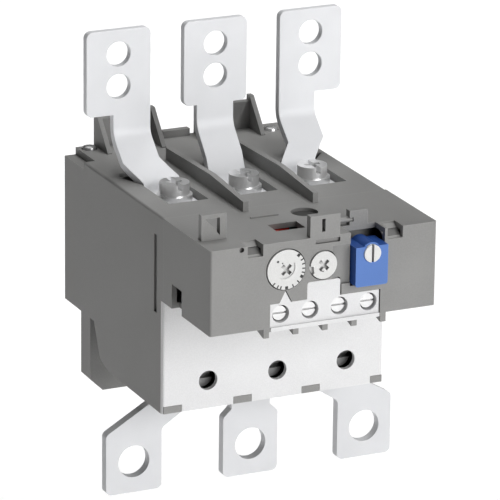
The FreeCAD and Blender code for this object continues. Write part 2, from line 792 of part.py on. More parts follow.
def make_bimetals():
    """A thin upright strip on a foot, which the load screw holds behind its tab."""
    for pole in POLES:
        home = new_body("bimetal_" + SIDES[pole])
        x = load_x(pole)
        edge = "(%s + strip_side)" % x
        foot = "(%s - strip_foot_fall)" % LOAD_SCREW
        box(home, (x + " - strip_side", edge + " + strip_thick"),
            (TAB_BACK, TAB_BACK + " + strip_thick"), (foot, TAB_TOP + " - strip_foot_gap"))
        box(home, (edge, edge + " + strip_thick"), (TAB_BACK, TAB_BACK + " + strip_deep"),
            (foot, "-slider_top_drop - slider_high - strip_under"))
        drum(home, "Y", x, LOAD_SCREW, TAB_BACK + " - past", TAB_BACK + " + strip_deep",
             "load_shank_radius + slide_gap", cut=True)


def make_load_tabs():
    """Copper lugs below the casing, the outer two splayed away from their screws."""
    for pole in POLES:
        home = new_body("load_tab_" + SIDES[pole])
        corners = tab_outline(pole, "0")
        prism(home, "XZ", "-tab_front", TAB_BACK, corners)
        drum(home, "Y", "(%d) * tab_pitch" % pole, "-tab_hole_drop", "-tab_front - past",
             TAB_BACK + " + past", "tab_hole_radius", cut=True)
        drum(home, "Y", load_x(pole), LOAD_SCREW, "-tab_front - past", TAB_BACK + " + past",
             "load_shank_radius + slide_gap", cut=True)
        dress(home, "Fillet", "tab_corner", "Y", corners[:3] + corners[-1:])


def make_load_clamps():
    """Long slotted screws behind the panel's holes, with square nuts behind the tabs."""
    screws = new_body("load_clamp_screws")
    nuts = new_body("load_clamp_nuts")
    front = "-load_head_front"
    seat = "(-load_head_front + load_head_high)"
    nut_face = "(%s + strip_thick)" % TAB_BACK
    for pole in POLES:
        x = load_x(pole)
        z = LOAD_SCREW
        drum(screws, "Y", x, z, front, seat, "load_head_radius")
        drum(screws, "Y", x, z, seat, "-load_shank_end", "load_shank_radius")
        box(screws, (x + " - load_head_radius - past", x + " + load_head_radius + past"),
            (front + " - past", front + " + slot_deep"),
            (z + " - slot_wide / 2", z + " + slot_wide / 2"), cut=True)
        box(nuts, (x + " - load_nut_wide / 2", x + " + load_nut_wide / 2"),
            (nut_face, nut_face + " + load_nut_thick"),
            (z + " - load_nut_wide / 2", z + " + load_nut_wide / 2"))
        drum(nuts, "Y", x, z, nut_face + " - past", nut_face + " + load_nut_thick + past",
             "load_shank_radius + shaft_gap", cut=True)


def make_front_panel():
    """The light panel over the pole chambers, with three screwdriver holes."""
    home = new_body("front_panel")
    face = "-case_front"
    back = "(-case_front + panel_thick)"
    box(home, (CASE_LEFT, CASE_RIGHT), (face, back), ("-panel_drop", HEAD_LOW + " - panel_gap"))
    for pole in POLES:
        drum(home, "Y", load_x(pole), LOAD_SCREW, face + " - past", back + " + past",
             "panel_hole_radius", cut=True)
    for left, wide in CLIPS:
        box(home, (left + " - panel_gap", left + " + panel_gap + " + wide),
            (face + " - past", back + " + past"),
            (TOOTH_LOW + " - past", TOOTH_LOW + " + clip_high + panel_gap"), cut=True)
    dress(home, "Fillet", "edge_round", "Z", [(CASE_LEFT, face), (CASE_RIGHT, face)])


def make_head_cover():
    """The front block: a shell over the trip mechanism, with dial openings."""
    home = new_body("head_cover")
    front = "-head_front"
    back = "-case_front"
    inner = "(-head_front + wall)"
    box(home, (CASE_LEFT, CASE_RIGHT), (front, back), (HEAD_LOW, CASE_TOP))
    dress(home, "Fillet", "edge_round", "Z", [(CASE_LEFT, front), (CASE_RIGHT, front)])
    box(home, (CASE_LEFT + " + wall", CASE_RIGHT + " - wall"), (inner, back + " + past"),
        (HEAD_LOW + " + wall", CASE_TOP + " - wall"), cut=True)
    # the bridge that carries the shafts, with a notch under the window for the flag
    box(home, (CASE_LEFT + " + wall", "button_x + bridge_over"), ("-bridge_front", BRIDGE_BACK),
        (AUX_TOP + " + bridge_lift", CASE_TOP + " - wall"))
    box(home, ("-window_left - flag_room", "-window_left + window_wide + flag_room"),
        ("-bridge_front - past", BRIDGE_BACK + " + past"),
        ("-flag_top_drop - flag_thick - running_gap", CASE_TOP + " - wall"), cut=True)
    # openings of the two dials, and bores of their shafts and of the button's stem
    for x, drop, radius in (("dial_x", "dial_drop", "dial_radius"),
                            ("selector_x", "selector_drop", "selector_radius")):
        drum(home, "Y", x, "-" + drop, front + " - past", inner + " + past",
             radius + " + running_gap", cut=True)
    for x, drop, radius in (("dial_x", "dial_drop", "dial_shaft_radius"),
                            ("selector_x", "selector_drop", "selector_shaft_radius"),
                            ("button_x", "stem_drop", "stem_radius")):
        drum(home, "Y", x, "-" + drop, "-bridge_front - past", BRIDGE_BACK + " + past",
             radius + " + shaft_gap", cut=True)
    # the recess of the reset button, open in front and on top, and the hollow beside it
    box(home, ("button_x - button_wide / 2 - running_gap",
               "button_x + button_wide / 2 + running_gap"),
        (front + " - past", "-button_front + button_deep + slide_gap"),
        ("-button_low_drop - running_gap", CASE_TOP + " + past"), cut=True)
    drum(home, "Z", "hollow_x", front + " - hollow_out", "-button_low_drop + hollow_step",
         "-button_top_drop + hollow_step", "hollow_radius", cut=True)
    # the opening of the terminal block, through the front and the floor
    box(home, ("aux_mid - aux_wide / 2 - slide_gap", "aux_mid + aux_wide / 2 + slide_gap"),
        (front + " - past", "-aux_front + aux_deep + slide_gap"),
        (HEAD_LOW + " - past", AUX_TOP + " + slide_gap"), cut=True)
    upstands(home, "slide_gap", front + " - past", "-aux_front + upstand_thick + slide_gap", True)
    # the sill under the terminals with its row of tapered ribs
    box(home, ("aux_mid - aux_wide / 2 - sill_over", "aux_mid + aux_wide / 2 + sill_over"),
        (front, front + " + shelf_deep"), (HEAD_LOW + " - shelf_thick", HEAD_LOW))
    for index in range(5):
        rib = "(aux_mid + (%d) * aux_pitch - rib_wide / 2)" % (index - 2)
        prism(home, "YZ", rib, rib + " + rib_wide", [
            (front, HEAD_LOW), (front, HEAD_LOW + " - rib_fall"),
            (front + " + rib_tip", HEAD_LOW + " - rib_fall"),
            (front + " + rib_long", HEAD_LOW + " - shelf_thick"),
            (front + " + rib_long", HEAD_LOW)])
    # the trip window, the round pit, the small hole and the two ramped notches of the top
    box(home, ("-window_left", "-window_left + window_wide"),
        ("-window_front", "-window_front + window_deep"),
        (CASE_TOP + " - wall - past", CASE_TOP + " + past"), cut=True)
    drum(home, "Z", "pit_x", back + " - pit_inset", CASE_TOP + " - pit_deep",
         CASE_TOP + " + past", "pit_radius", cut=True)
    for left in ("ramp_left_x", "ramp_right_x"):
        prism(home, "YZ", left, left + " + ramp_wide", [
            (front + " - past", CASE_TOP + " + past"),
            (front + " - past", CASE_TOP + " - ramp_deep"),
            (front + " + ramp_lip", CASE_TOP + " - ramp_deep"),
            (front + " + ramp_long", CASE_TOP + " - ramp_shallow"),
            (front + " + ramp_long", CASE_TOP + " + past")], cut=True)
    drum(home, "Y", "dot_x", CASE_TOP + " - dot_step", front + " - past", front + " + pit_deep",
         "dot_radius", cut=True)
    # the notch in the lower edge of the left side
    box(home, (CASE_LEFT + " - past", CASE_LEFT + " + wall + past"),
        ("-gate_front", "-gate_front + gate_wide"),
        (HEAD_LOW + " - past", HEAD_LOW + " + gate_high"), cut=True)
    make_lugs(home, front)
    # bosses on the floor that seat the hubs, with sockets for the pivot pins
    for x, y in PIVOTS:
        drum(home, "Z", x, y, HEAD_LOW + " + root", HUB_LOW + " - slide_gap", "hub_radius")
        drum(home, "Z", x, y, HEAD_LOW + " + pin_seat", HUB_LOW + " + past",
             "pin_radius + shaft_gap", cut=True)


def make_lugs(home, front):
    """The upright lugs of the head's top, the round post and the latch frame."""
    root = CASE_TOP + " - root"
    behind = "(-button_front + button_deep + slide_gap)"
    far = behind + " + lug_thick"
    lug_left = "(button_x - rear_lug_left)"
    notch_left = "(button_x - rear_lug_left - past)"
    box(home, (lug_left, "button_x + rear_lug_right"), (behind, far),
        (root, "-lug_top_drop - rear_lug_step"))
    box(home, (notch_left, lug_left + " + rear_lug_notch"), (behind + " - past", far + " + past"),
        (CASE_TOP + " + post_rise - post_radius / 2", CASE_TOP + " + post_rise + post_radius"),
        cut=True)
    drum(home, "X", behind + " + lug_thick / 2", CASE_TOP + " + post_rise",
         "button_x - post_left", lug_left + " + rear_lug_notch + past / 2", "post_radius")
    box(home, ("button_x - post_left - block_wide / 2", "button_x - post_left + block_wide / 2"),
        (behind, far), (root, CASE_TOP + " + block_rise"))
    # the small raised edge behind the window
    ridge = "(-window_front + window_deep + ridge_back)"
    ridge_left = "(-window_left - ridge_left)"
    box(home, (ridge_left, ridge_left + " + ridge_long"), (ridge, ridge + " + ridge_thick"),
        (root, CASE_TOP + " + ridge_high"))
    # the lug of the front, with its upright slot and the groove under it
    box(home, ("-lug_left", "lug_right"), (front, front + " + lug_thick"), (root, "-lug_top_drop"))
    box(home, ("-lug_slot_left", "-lug_slot_left + lug_slot_wide"),
        (front + " - past", front + " + lug_thick + past"),
        (CASE_TOP + " + lug_slot_high", "-lug_top_drop - lug_slot_wide"), cut=True)
    groove_top = CASE_TOP + " - lug_groove_step"
    box(home, ("-lug_groove_left", "-lug_groove_left + lug_groove_wide"),
        (front + " - past", front + " + lug_groove_deep"),
        (groove_top + " - lug_groove_high", groove_top), cut=True)
    # the latch frame with its three-cornered window
    latch = "(%s + latch_inset)" % CASE_LEFT
    post = latch + " + latch_wide - latch_post"
    near = "-latch_front - latch_thick / 2"
    far = "-latch_front + latch_thick / 2"
    box(home, (latch, latch + " + latch_wide"), (near, far), (root, "-latch_top_drop"))
    prism(home, "XZ", near + " - past", far + " + past", [
        (latch + " + latch_frame", "-latch_top_drop - latch_frame"),
        (post, "-latch_top_drop - latch_frame"), (post, CASE_TOP + " + latch_frame")], cut=True)


def upstands(home, gap, near, far, cut=False):
    """The pointer under the dial and the bare label tab, over the terminal block."""
    foot = AUX_TOP + " - panel_gap"
    left = "-label_left - " + gap
    right = "-label_left + label_wide + " + gap
    top = AUX_TOP + " + label_high + " + gap
    prism(home, "XZ", near, far, [
        ("pointer_x - pointer_wide / 2 - " + gap, foot),
        ("pointer_x + pointer_wide / 2 + " + gap, foot),
        ("pointer_x", AUX_TOP + " + pointer_high + 2 * " + gap)], cut)
    box(home, (left, right), (near, far), (foot, top), cut)
    dress(home, "Fillet", "edge_round", "Y", [(left, top), (right, top)])


def make_aux_block():
    """The white block of four small terminals, with a well over each screw."""
    home = new_body("aux_terminal_block")
    screws = new_body("aux_terminal_screws")
    clamps = new_body("aux_terminal_clamps")
    face = "-aux_front"
    box(home, ("aux_mid - aux_wide / 2", "aux_mid + aux_wide / 2"),
        (face, face + " + aux_deep"), (HEAD_LOW, AUX_TOP))
    upstands(home, "0", face, face + " + upstand_thick")
    head = "(%s + aux_head_sink)" % face
    seat = "(%s + aux_head_high)" % head
    plate = "(%s + well_deep + aux_clamp_thick)" % face
    z = "(%s - aux_screw_step)" % AUX_TOP
    for index in range(4):
        x = "(aux_mid + (%s) * aux_pitch)" % (index - 1.5)
        drum(home, "Y", x, z, face + " - past", face + " + well_deep", "well_radius", cut=True)
        drum(home, "Y", x, z, face + " + past", seat + " + aux_shank_long + slide_gap",
             "aux_shank_radius + slide_gap", cut=True)
        box(home, (x + " - aux_clamp_wide / 2 - slide_gap",
                   x + " + aux_clamp_wide / 2 + slide_gap"),
            (plate + " - slide_gap", plate + " + aux_clamp_thick + aux_clamp_room"),
            (HEAD_LOW + " - past", AUX_TOP + " - aux_roof"), cut=True)
        drum(screws, "Y", x, z, head, seat, "aux_head_radius")
        drum(screws, "Y", x, z, seat, seat + " + aux_shank_long", "aux_shank_radius")
        box(screws, (x + " - aux_head_radius - past", x + " + aux_head_radius + past"),
            (head + " - past", head + " + small_slot_deep"),
            (z + " - small_slot_wide / 2", z + " + small_slot_wide / 2"), cut=True)
        box(clamps, (x + " - aux_clamp_wide / 2", x + " + aux_clamp_wide / 2"),
            (plate, plate + " + aux_clamp_thick"),
            (z + " - aux_clamp_fall", z + " + aux_clamp_rise"))
        drum(clamps, "Y", x, z, plate + " - past", plate + " + aux_clamp_thick + past",
             "aux_shank_radius + shaft_gap", cut=True)


def make_dials():
    """The current-setting dial with its cam, and the smaller mode selector."""
    dial = new_body("setting_dial")
    z = "-dial_drop"
    back = "(-dial_front + dial_thick)"
    tail = "(%s + cam_gap)" % BRIDGE_BACK
    drum(dial, "Y", "dial_x", z, "-dial_front", back, "dial_radius")
    drum(dial, "Y", "dial_x", z, back, tail + " + cam_thick", "dial_shaft_radius")
    drum(dial, "Y", "dial_x + cam_offset", z, tail, tail + " + cam_thick", "cam_radius")
    cross_slot(dial, "dial_x", z, "-dial_front")
    # the raised arc beside the cross
    drum(dial, "Y", "dial_x", z, "-dial_front - arc_high", "-dial_front", "arc_radius")
    drum(dial, "Y", "dial_x - arc_shift", z + " + arc_shift", "-dial_front - past", "-dial_front",
         "arc_radius + slide_gap", cut=True)
    selector = new_body("mode_selector")
    z = "-selector_drop"
    back = "(-selector_front + selector_thick)"
    drum(selector, "Y", "selector_x", z, "-selector_front", back, "selector_radius")
    drum(selector, "Y", "selector_x", z, back, tail, "selector_shaft_radius")
    cross_slot(selector, "selector_x", z, "-selector_front")
    # the notch at the selector's lower left
    corner = "(selector_x - selector_radius - past)"
    prism(selector, "XZ", "-selector_front - past", "-selector_front + notch_deep", [
        (corner, z), (corner, z + " - selector_radius"),
        ("selector_x - selector_radius * notch_share", z + " - selector_radius / 2"),
        ("selector_x - selector_radius * notch_share - slide_gap", z)], cut=True)


def cross_slot(home, x, z, face):
    """Two crossing slots for a screwdriver, each on a diagonal."""
    for way in (-1, 1):
        side = "%s + (%d) * " % (x, way)
        prism(home, "XZ", face + " - past", face + " + cross_deep", [
            (side + "(-cross_reach - cross_half)", z + " - cross_reach + cross_half"),
            (side + "(cross_half - cross_reach)", z + " - cross_reach - cross_half"),
            (side + "(cross_reach + cross_half)", z + " + cross_reach - cross_half"),
            (side + "(cross_reach - cross_half)", z + " + cross_reach + cross_half")], cut=True)


def make_reset_button():
    """The blue button with a bore for its spring, its guide stem and the stud in its face."""
    home = new_body("reset_button")
    back = "(-button_front + button_deep)"
    low = "button_x - button_wide / 2"
    high = "button_x + button_wide / 2"
    seat = "(-button_front + stud_seat)"
    box(home, (low, high), ("-button_front", back), ("-button_low_drop", "-button_top_drop"))
    drum(home, "Y", "button_x", "-stem_drop", "-spring_seat", back + " + past", "spring_bore",
         cut=True)
    drum(home, "Y", "button_x", "-stem_drop", "-spring_seat - root", "-stem_end", "stem_radius")
    drum(home, "Y", "stud_x", "-stud_drop", "-button_front - past", seat,
         "stud_radius + shaft_gap", cut=True)
    drum(home, "Y", "stud_x", "-stud_drop", seat + " - past", back + " + past",
         "stud_neck_radius + shaft_gap", cut=True)
    dress(home, "Fillet", "edge_round", "Y",
          [(low, "-button_low_drop"), (high, "-button_low_drop")])
    stud = new_body("stop_stud")
    drum(stud, "Y", "stud_x", "-stud_drop", "-stud_front", seat + " - slide_gap", "stud_radius")
    drum(stud, "Y", "stud_x", "-stud_drop", seat + " - slide_gap", back + " + stud_tail",
         "stud_neck_radius")
    box(stud, ("stud_x - stud_slot_wide / 2", "stud_x + stud_slot_wide / 2"),
        ("-stud_front - past", "-stud_front + stud_slot_deep"),
        ("-stud_drop - stud_radius - past", "-stud_drop + stud_radius + past"), cut=True)


def make_reset_spring():
    """A coil spring round the button's stem, from the bore's end to the bridge."""
    wire = value("spring_wire")
    start = value("-spring_seat + spring_wire + spring_end_gap")
    end = value("-bridge_front - spring_wire - spring_end_gap")
    radius = value("spring_radius")
    turns = value("spring_turns")
    coil = Part.makeHelix((end - start) / turns, end - start, radius)
    corners = [Vector(radius, 0, 0) + Rotation(Vector(0, 1, 0), 60 * step).multVec(
        Vector(wire, 0, 0)) for step in range(7)]
    spring = Part.Wire(coil.Edges).makePipeShell([Part.makePolygon(corners)], True, True)
    feature = doc.addObject("Part::Feature", "reset_spring")
    feature.Label = "reset_spring"
    feature.Shape = spring
    feature.Placement = Placement(Vector(value("button_x"), start, value("-stem_drop")),
                                  TURNS["Y"])
    parts.append(feature)


def make_trip_slider():
    """The bar that the three strips push sideways, with an arm into the head."""
    home = new_body("trip_slider")
    top = "-slider_top_drop"
    low = "(-slider_top_drop - slider_high)"
    back = "-slider_front + slider_deep"
    box(home, ("-slider_left", "slider_beam_right"), ("-slider_front", back), (low, top))
    box(home, ("slider_right - slider_arm_wide", "slider_right"), ("-slider_arm_front", back),
        (low, top))
    for pole in POLES:
        near = "(%s + strip_side + strip_thick + running_gap)" % load_x(pole)
        box(home, (near, near + " + finger_wide"),
            ("-slider_front", "-slider_front + finger_deep"), (low + " - finger_high", top))


def make_lever():
    """The compensation lever: one arm meets the slider, the other the rocker."""
    home = new_body("compensation_lever")
    top = "-lever_top_drop"
    low = "(-lever_top_drop - lever_high)"
    side = "(slider_right + running_gap)"
    drum(home, "Z", "lever_x", "-lever_front", HUB_LOW, top + " + hub_over", "hub_radius")
    box(home, (side, side + " + lever_arm_wide"), ("-lever_front", "-lever_arm_front"),
        (low, top))
    prism(home, "XY", low, top, [
        ("lever_x", "-lever_front - lever_root_front"),
        ("lever_x", "-lever_front + lever_root_back"),
        ("lever_nose_x + lever_nose_half", "-lever_nose_front"),
        ("lever_nose_x - lever_nose_half", "-lever_nose_front"),
        ("lever_nose_x - lever_nose_half", "-lever_nose_front - lever_nose_thick")])
    drum(home, "Z", "lever_x", "-lever_front", HUB_LOW + " - past",
         top + " + hub_over + past", "pin_radius + shaft_gap", cut=True)


def make_rocker():
    """The contact rocker with its long arm, and the red flag on the arm's end."""
    home = new_body("contact_rocker")
    x = "rocker_x"
    y = "-rocker_front"
    back = "(-rocker_front + rocker_thick / 2)"
    top = "-lever_top_drop"
    low = "(-lever_top_drop - lever_high)"
    arm = "(-flag_top_drop - flag_thick)"
    tip = "-flag_near + flag_deep"
    drum(home, "Z", x, y, HUB_LOW, "-flag_top_drop", "hub_radius")
    box(home, ("-rocker_left", "rocker_right"), (y + " - rocker_thick / 2", back), (low, top))
    for spot in ("-rocker_left + contact_inset", "contact_open_x"):
        drum(home, "Y", spot, "%s - lever_high / 2" % top, back, back + " + contact_thick",
             "contact_radius")
    prism(home, "XY", arm, "-flag_top_drop", [
        (x + " - rocker_arm_half", y), (x + " + rocker_arm_half", y),
        ("flag_x + rocker_tip_half", tip), ("flag_x - rocker_tip_half", tip)])
    drum(home, "Z", x, y, HUB_LOW + " - past", "-flag_top_drop + past",
         "pin_radius + shaft_gap", cut=True)
    flag = new_body("trip_flag")
    box(flag, ("flag_x - flag_wide / 2", "flag_x + flag_wide / 2"),
        ("-flag_near", tip), (arm, "-flag_top_drop"))


def make_pins():
    home = new_body("pivot_pins")
    for x, y in PIVOTS:
        drum(home, "Z", x, y, HEAD_LOW + " + pin_seat", CASE_TOP + " - wall", "pin_radius")


def make_contact_leaves():
    """Leaf contacts behind the rocker: one closed at rest, one closed when tripped."""
    y = "(-rocker_front + rocker_thick / 2 + contact_thick)"
    base = "(%s + wall)" % HEAD_LOW
    for label, x, gap in (("contact_leaf_closed", "(-rocker_left + contact_inset)", "slide_gap"),
                          ("contact_leaf_open", "contact_open_x", "leaf_open_gap")):
        home = new_body(label)
        near = "%s + %s" % (y, gap)
        across = (x + " - leaf_wide / 2", x + " + leaf_wide / 2")
        box(home, across, ("-aux_front + aux_deep + slide_gap", near + " + leaf_thick"),
            (base, base + " + leaf_thick"))
        box(home, across, (near, near + " + leaf_thick"), (base, "-lever_top_drop"))


make_main_housing()
make_rear_screws()
make_line_bars()
make_line_clamps()
make_heaters()
make_bimetals()
make_load_tabs()
make_load_clamps()
make_front_panel()
make_head_cover()
make_aux_block()
make_dials()
make_reset_button()
make_reset_spring()
make_trip_slider()
make_lever()
make_rocker()
make_pins()
make_contact_leaves()
doc.recompute()

for item in doc.Objects:
    if "Invalid" in item.State or "Error" in item.State:
        raise RuntimeError("%s failed: %s" % (item.Label, item.State))
for item in parts:
    if item.Shape.isNull() or not item.Shape.isValid() or not item.Shape.Solids:
        raise RuntimeError("%s has no sound shape" % item.Label)

os.makedirs("parts", exist_ok=True)
for item in parts:
    item.Shape.exportStep("parts/%s.step" % item.Label)
    print(item.Label, len(item.Shape.Solids), round(item.Shape.Volume, 1))
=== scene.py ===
"""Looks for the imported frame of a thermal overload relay, laid out as a Blender add-on.

Run as a script, it gives every solid a finish, adds the pieces that the solids leave
plain, sets up the floor, the light and the camera.
Places are in the frame of the solids: X to the right, Y to the back and Z up, from the
upper hole of the middle line bar's plate.
"""
import math

import bmesh
import bpy
from bpy.props import FloatProperty, FloatVectorProperty, PointerProperty
from bpy.types import Operator, Panel, PropertyGroup
from mathutils import Matrix, Vector


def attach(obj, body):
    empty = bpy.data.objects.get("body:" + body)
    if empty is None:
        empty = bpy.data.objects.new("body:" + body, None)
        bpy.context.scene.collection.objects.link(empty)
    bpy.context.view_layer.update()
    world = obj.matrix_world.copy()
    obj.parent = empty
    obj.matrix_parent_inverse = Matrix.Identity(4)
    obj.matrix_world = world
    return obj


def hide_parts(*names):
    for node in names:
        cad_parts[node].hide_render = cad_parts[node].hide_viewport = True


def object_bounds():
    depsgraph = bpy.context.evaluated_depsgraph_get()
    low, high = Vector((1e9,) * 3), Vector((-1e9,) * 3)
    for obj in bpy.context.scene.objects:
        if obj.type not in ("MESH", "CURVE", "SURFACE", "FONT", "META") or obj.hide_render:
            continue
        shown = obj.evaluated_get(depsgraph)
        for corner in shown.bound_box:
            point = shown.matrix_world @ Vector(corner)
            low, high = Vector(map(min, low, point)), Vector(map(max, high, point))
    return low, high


bl_info = {
    "name": "Overload Relay Looks",
    "version": (1, 0, 0),
    "blender": (4, 5, 0),
    "location": "View3D > Sidebar > Relay",
    "description": "Finishes, dial marks and a stage for a thermal overload relay",
    "category": "Object",
}

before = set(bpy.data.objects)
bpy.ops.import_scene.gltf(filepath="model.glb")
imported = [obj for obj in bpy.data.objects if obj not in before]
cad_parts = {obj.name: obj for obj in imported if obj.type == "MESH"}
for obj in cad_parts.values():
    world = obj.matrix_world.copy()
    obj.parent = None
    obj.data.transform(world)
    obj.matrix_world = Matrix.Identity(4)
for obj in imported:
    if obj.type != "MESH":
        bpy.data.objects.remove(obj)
CAD_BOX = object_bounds()
MM = 0.001
POLES = ("left", "middle", "right")

# The line bars in millimetres: the low and high X of each plate, neck and pad, and the
# centre line from the plate's top to the pad's end, as Y and Z

PLATES = {"left": (-46.5, -23.5), "middle": (-11.5, 11.5), "right": (23.5, 46.5)}
NECKS = {"left": (-36.9, -23.5), "middle": (-6.7, 6.7), "right": (23.5, 36.9)}
PADS = {"left": (-33.0, -19.6), "middle": (-8.0, 5.4), "right": (17.0, 30.4)}
OUTER_LINE = ((1.4, 8.2), (1.4, -28.6), (-8.5, -37.4), (-15.0, -41.2), (-18.6, -44.8),
              (-37.5, -44.8))
MIDDLE_LINE = ((1.4, 8.2), (1.4, -28.6), (-13.4, -44.8), (-37.5, -44.8))
PLATE_LENGTH = 29.0
PLATE_CORNER = 2.2
PLATE_HOLES = (8.2, 19.3)
PLATE_HOLE_RADIUS = 4.25
PLATE_HOLE_SIDES = 48
CLAMP_Y = -26.0
CLAMP_HOLE_RADIUS = 2.8
CLAMP_HOLE_SIDES = 24
# The Y at which each side of a bar starts and ends its step from the neck to the pad
JOG_LEFT = (-7.0, -14.8)
JOG_RIGHT = (-6.4, -13.8)
# The width of a bar's eased rim, and the angle under which its shading is smooth
BAR_RIM = 0.22
BAR_SMOOTH = 20.0
# The most of a straight run that the bend at each of its ends may take
BEND_SHARE = 0.45
BEND_STEPS = 8
# A strip this long ends the flat plate, so that its shading stays flat
FLAT_END = 0.05
# How near a point counts as on a cut, and how near two points count as one
CUT_REACH = 0.0001
MERGE_REACH = 0.001

# The sloping floors of the two notches in the head's top front edge: the X of each
# notch's left wall, a floor's reach to both sides of it, and its outline in Y and Z

NOTCHES = (-28.4, 20.9)
NOTCH_INSET = 0.4
NOTCH_WIDTH = 5.9
NOTCH_RAMP = ((-86.4, -44.75), (-82.4, -42.2), (-82.4, -42.9), (-86.4, -45.5))

# The round pit in the head's top: its centre in X and Y, and the radii and heights of
# the dark disc on its floor, a painted shadow of the pit

PIT = (3.5, -62.4)
PIT_RINGS = ((4.35, -41.86), (4.35, -41.8), (4.0, -41.74))
PIT_SIDES = 48
PIT_SMOOTH = 30.0

# The white skirt under the terminal block

SKIRT_X = (-19.95, 18.45)
SKIRT_Z = (-70.3, -69.0)
SKIRT_Y = (-87.85, -87.6)
SKIRT_CORNER = 0.25

# Domed crowns of the rear fixing screws: their centres in X and Y, their radii and
# heights, and the angle that the slot takes on each side of its middle

REAR_SCREWS = ((-33.6, 28.3), (32.5, 25.0))
CROWN_RINGS = ((2.38, -41.3), (2.38, -40.3), (2.1, -39.85), (1.2, -39.6))
CROWN_SLOT = 8.0
CROWN_STEPS = 16
CROWN_SMOOTH = 40.0

# The trip flag's tongue: its outline in X and Y, and its heights

TONGUE = ((-12.0, -74.0), (-10.0, -74.0), (-9.6, -70.6), (-5.2, -69.4), (-5.2, -67.6),
          (-11.0, -68.4), (-12.0, -71.0))
TONGUE_Z = (-44.3, -42.8)

# The faces of dial and selector, as their centres, and the marks on them. An angle runs
# anticlockwise from +X, and a mark is its angle, near end, far end and half its width

DIAL = (-14.9, -88.1, -50.0)
DIAL_RIM = 6.55
DIAL_SQUARES = (45.8, -28.2, -88.8)
SQUARE = 1.0
DIAL_TICKS = (26.8, 12.1, -2.4, -14.9, -46.9, -67.1, -108.2, -119.3, -134.9)
TICK_HALF = 0.21
DIAL_DOTS = ((135.0, 3.9, 4.6, 0.35), (121.0, 2.5, 2.9, 0.2))
SELECTOR = (-1.7, -88.1, -50.2)
SELECTOR_MARK = (252.0, 1.85, 2.15, 0.6)
MARK_SINK = 0.05

# The button's arch over the stud's shank: its axis in X and Z, its ends in Y, its outer
# and inner radius, and the angles that it spans

SLEEVE_AXIS = (13.9, -47.3)
SLEEVE_Y = (-90.5, -81.3)
SLEEVE_RADII = (3.5, 2.98)
SLEEVE_SPAN = (38.0, 142.0)
SLEEVE_STEPS = 16
SLEEVE_SMOOTH = 35.0

# Finishes that aren't among the colours a user would change, and how much darker some
# are than the colour that they come from

# Painted shade: how much darker the notch floors are than the head cover
NOTCH_SHADE_DARKER = 0.5
TAB_DARKER = 0.87
# Painted shade: how much darker the screws and nuts down the panel's holes are than the
# steel
HOLE_SHADE_DARKER = 0.35
# Painted shadow: the colour of the dark disc in the round pit
PIT_SHADOW_SHADE = (0.035, 0.035, 0.033)
LEVER_SHADE = (0.03, 0.03, 0.03)
HEATER_SHADE = (0.42, 0.38, 0.33)
BIMETAL_SHADE = (0.5, 0.44, 0.36)
BRONZE_SHADE = (0.55, 0.36, 0.16)

# Moulded plastic. Here and below, scales are in waves per metre, reaches and reliefs
# are in metres, shares run from 0 to 1, and a shade is multiplied by paler or darker

FINE_DETAIL = 3.0
FINE_ROUGH = 0.6
FLOW_SCALE = 55.0
FLOW_STOPS = ((0.35, 0.0), (0.68, 1.0))
GRAIN_STOPS = ((0.42, 0.0), (0.62, 1.0))
GRAIN_SHARE = 0.35
GRAIN_PALER = 1.16
GRAIN_RELIEF = 0.00003
GRAIN_STRENGTH = 0.55
# How much painted shade the faces that don't look to the front take
FLANK_SHADE_SHARE = 0.85
# Paler edges: partly wear, partly painted highlight
WEAR_AND_HIGHLIGHT_REACH = 0.00045
WEAR_AND_HIGHLIGHT_SHARE = 0.4
WEAR_AND_HIGHLIGHT_PALER = 1.7
# Painted shade in slots, holes and narrow gaps
SLOT_SHADE_REACH = 0.005
SLOT_SHADE_SHARE = 0.75
SLOT_SHADE_DARKER = 0.22
FLOW_ROUGH = 0.08
GRAIN_ROUGH = 0.06
PLASTIC_ROUGH_DROP = 0.07
PLASTIC_IOR = 1.46

# Rolled and plated metal

ALONG_SHEET = (1.0, 1.0, 0.06)
EVEN = (1.0, 1.0, 1.0)
TINNED_ROUGH = 0.62
TINNED_STREAK = 0.015
TINNED_METAL = 0.2
STREAK_SCALE = 900.0
STREAK_RELIEF = 0.00001
PLATED_RELIEF = 0.000001
STREAK_STRENGTH = 0.4
PLATING_SCALE = 70.0
PLATING_STOPS = ((0.3, 0.0), (0.7, 1.0))
PLATING_SHARE = 0.3
PLATING_DARKER = 0.9
# Brighter edges: partly polish, partly painted highlight
POLISH_AND_HIGHLIGHT_REACH = 0.00035
POLISH_AND_HIGHLIGHT_SHARE = 0.5
POLISH_AND_HIGHLIGHT_PALER = 1.2
# Painted shade in crevices and slots
CREVICE_SHADE_REACH = 0.0016
CREVICE_SHADE_SHARE = 0.9
CREVICE_SHADE_DARKER = 0.12
STREAK_ROUGH = 0.12
PLATING_ROUGH = 0.08
METAL_ROUGH_DROP = 0.08

# Printing ink

INK_SCALE = 2600.0
INK_SHARE = 0.5
INK_PALER = 2.4
INK_ROUGH = 0.4
INK_ROUGH_SPREAD = 0.2
INK_RELIEF = 0.00001
INK_STRENGTH = 0.3

# Masks: how they start and how steeply they rise, and how finely they are sampled

EDGE_GAIN = 3.0
EDGE_SAMPLES = 4
# The recess mask paints shade where slots, holes and gaps would be in shade
RECESS_START = 0.6
RECESS_GAIN = 2.4
RECESS_SAMPLES = 8
# The flank mask paints shade on faces that don't look to the front
FRONT_LEAN = 0.8
FLANK_GAIN = 3.0

# The sockets of a Mix node that mixes colours

MIX_FACTOR, MIX_ONE, MIX_OTHER, MIX_RESULT = 0, 6, 7, 2

# The stage, in metres, with each lamp's spread in degrees and its power in watts

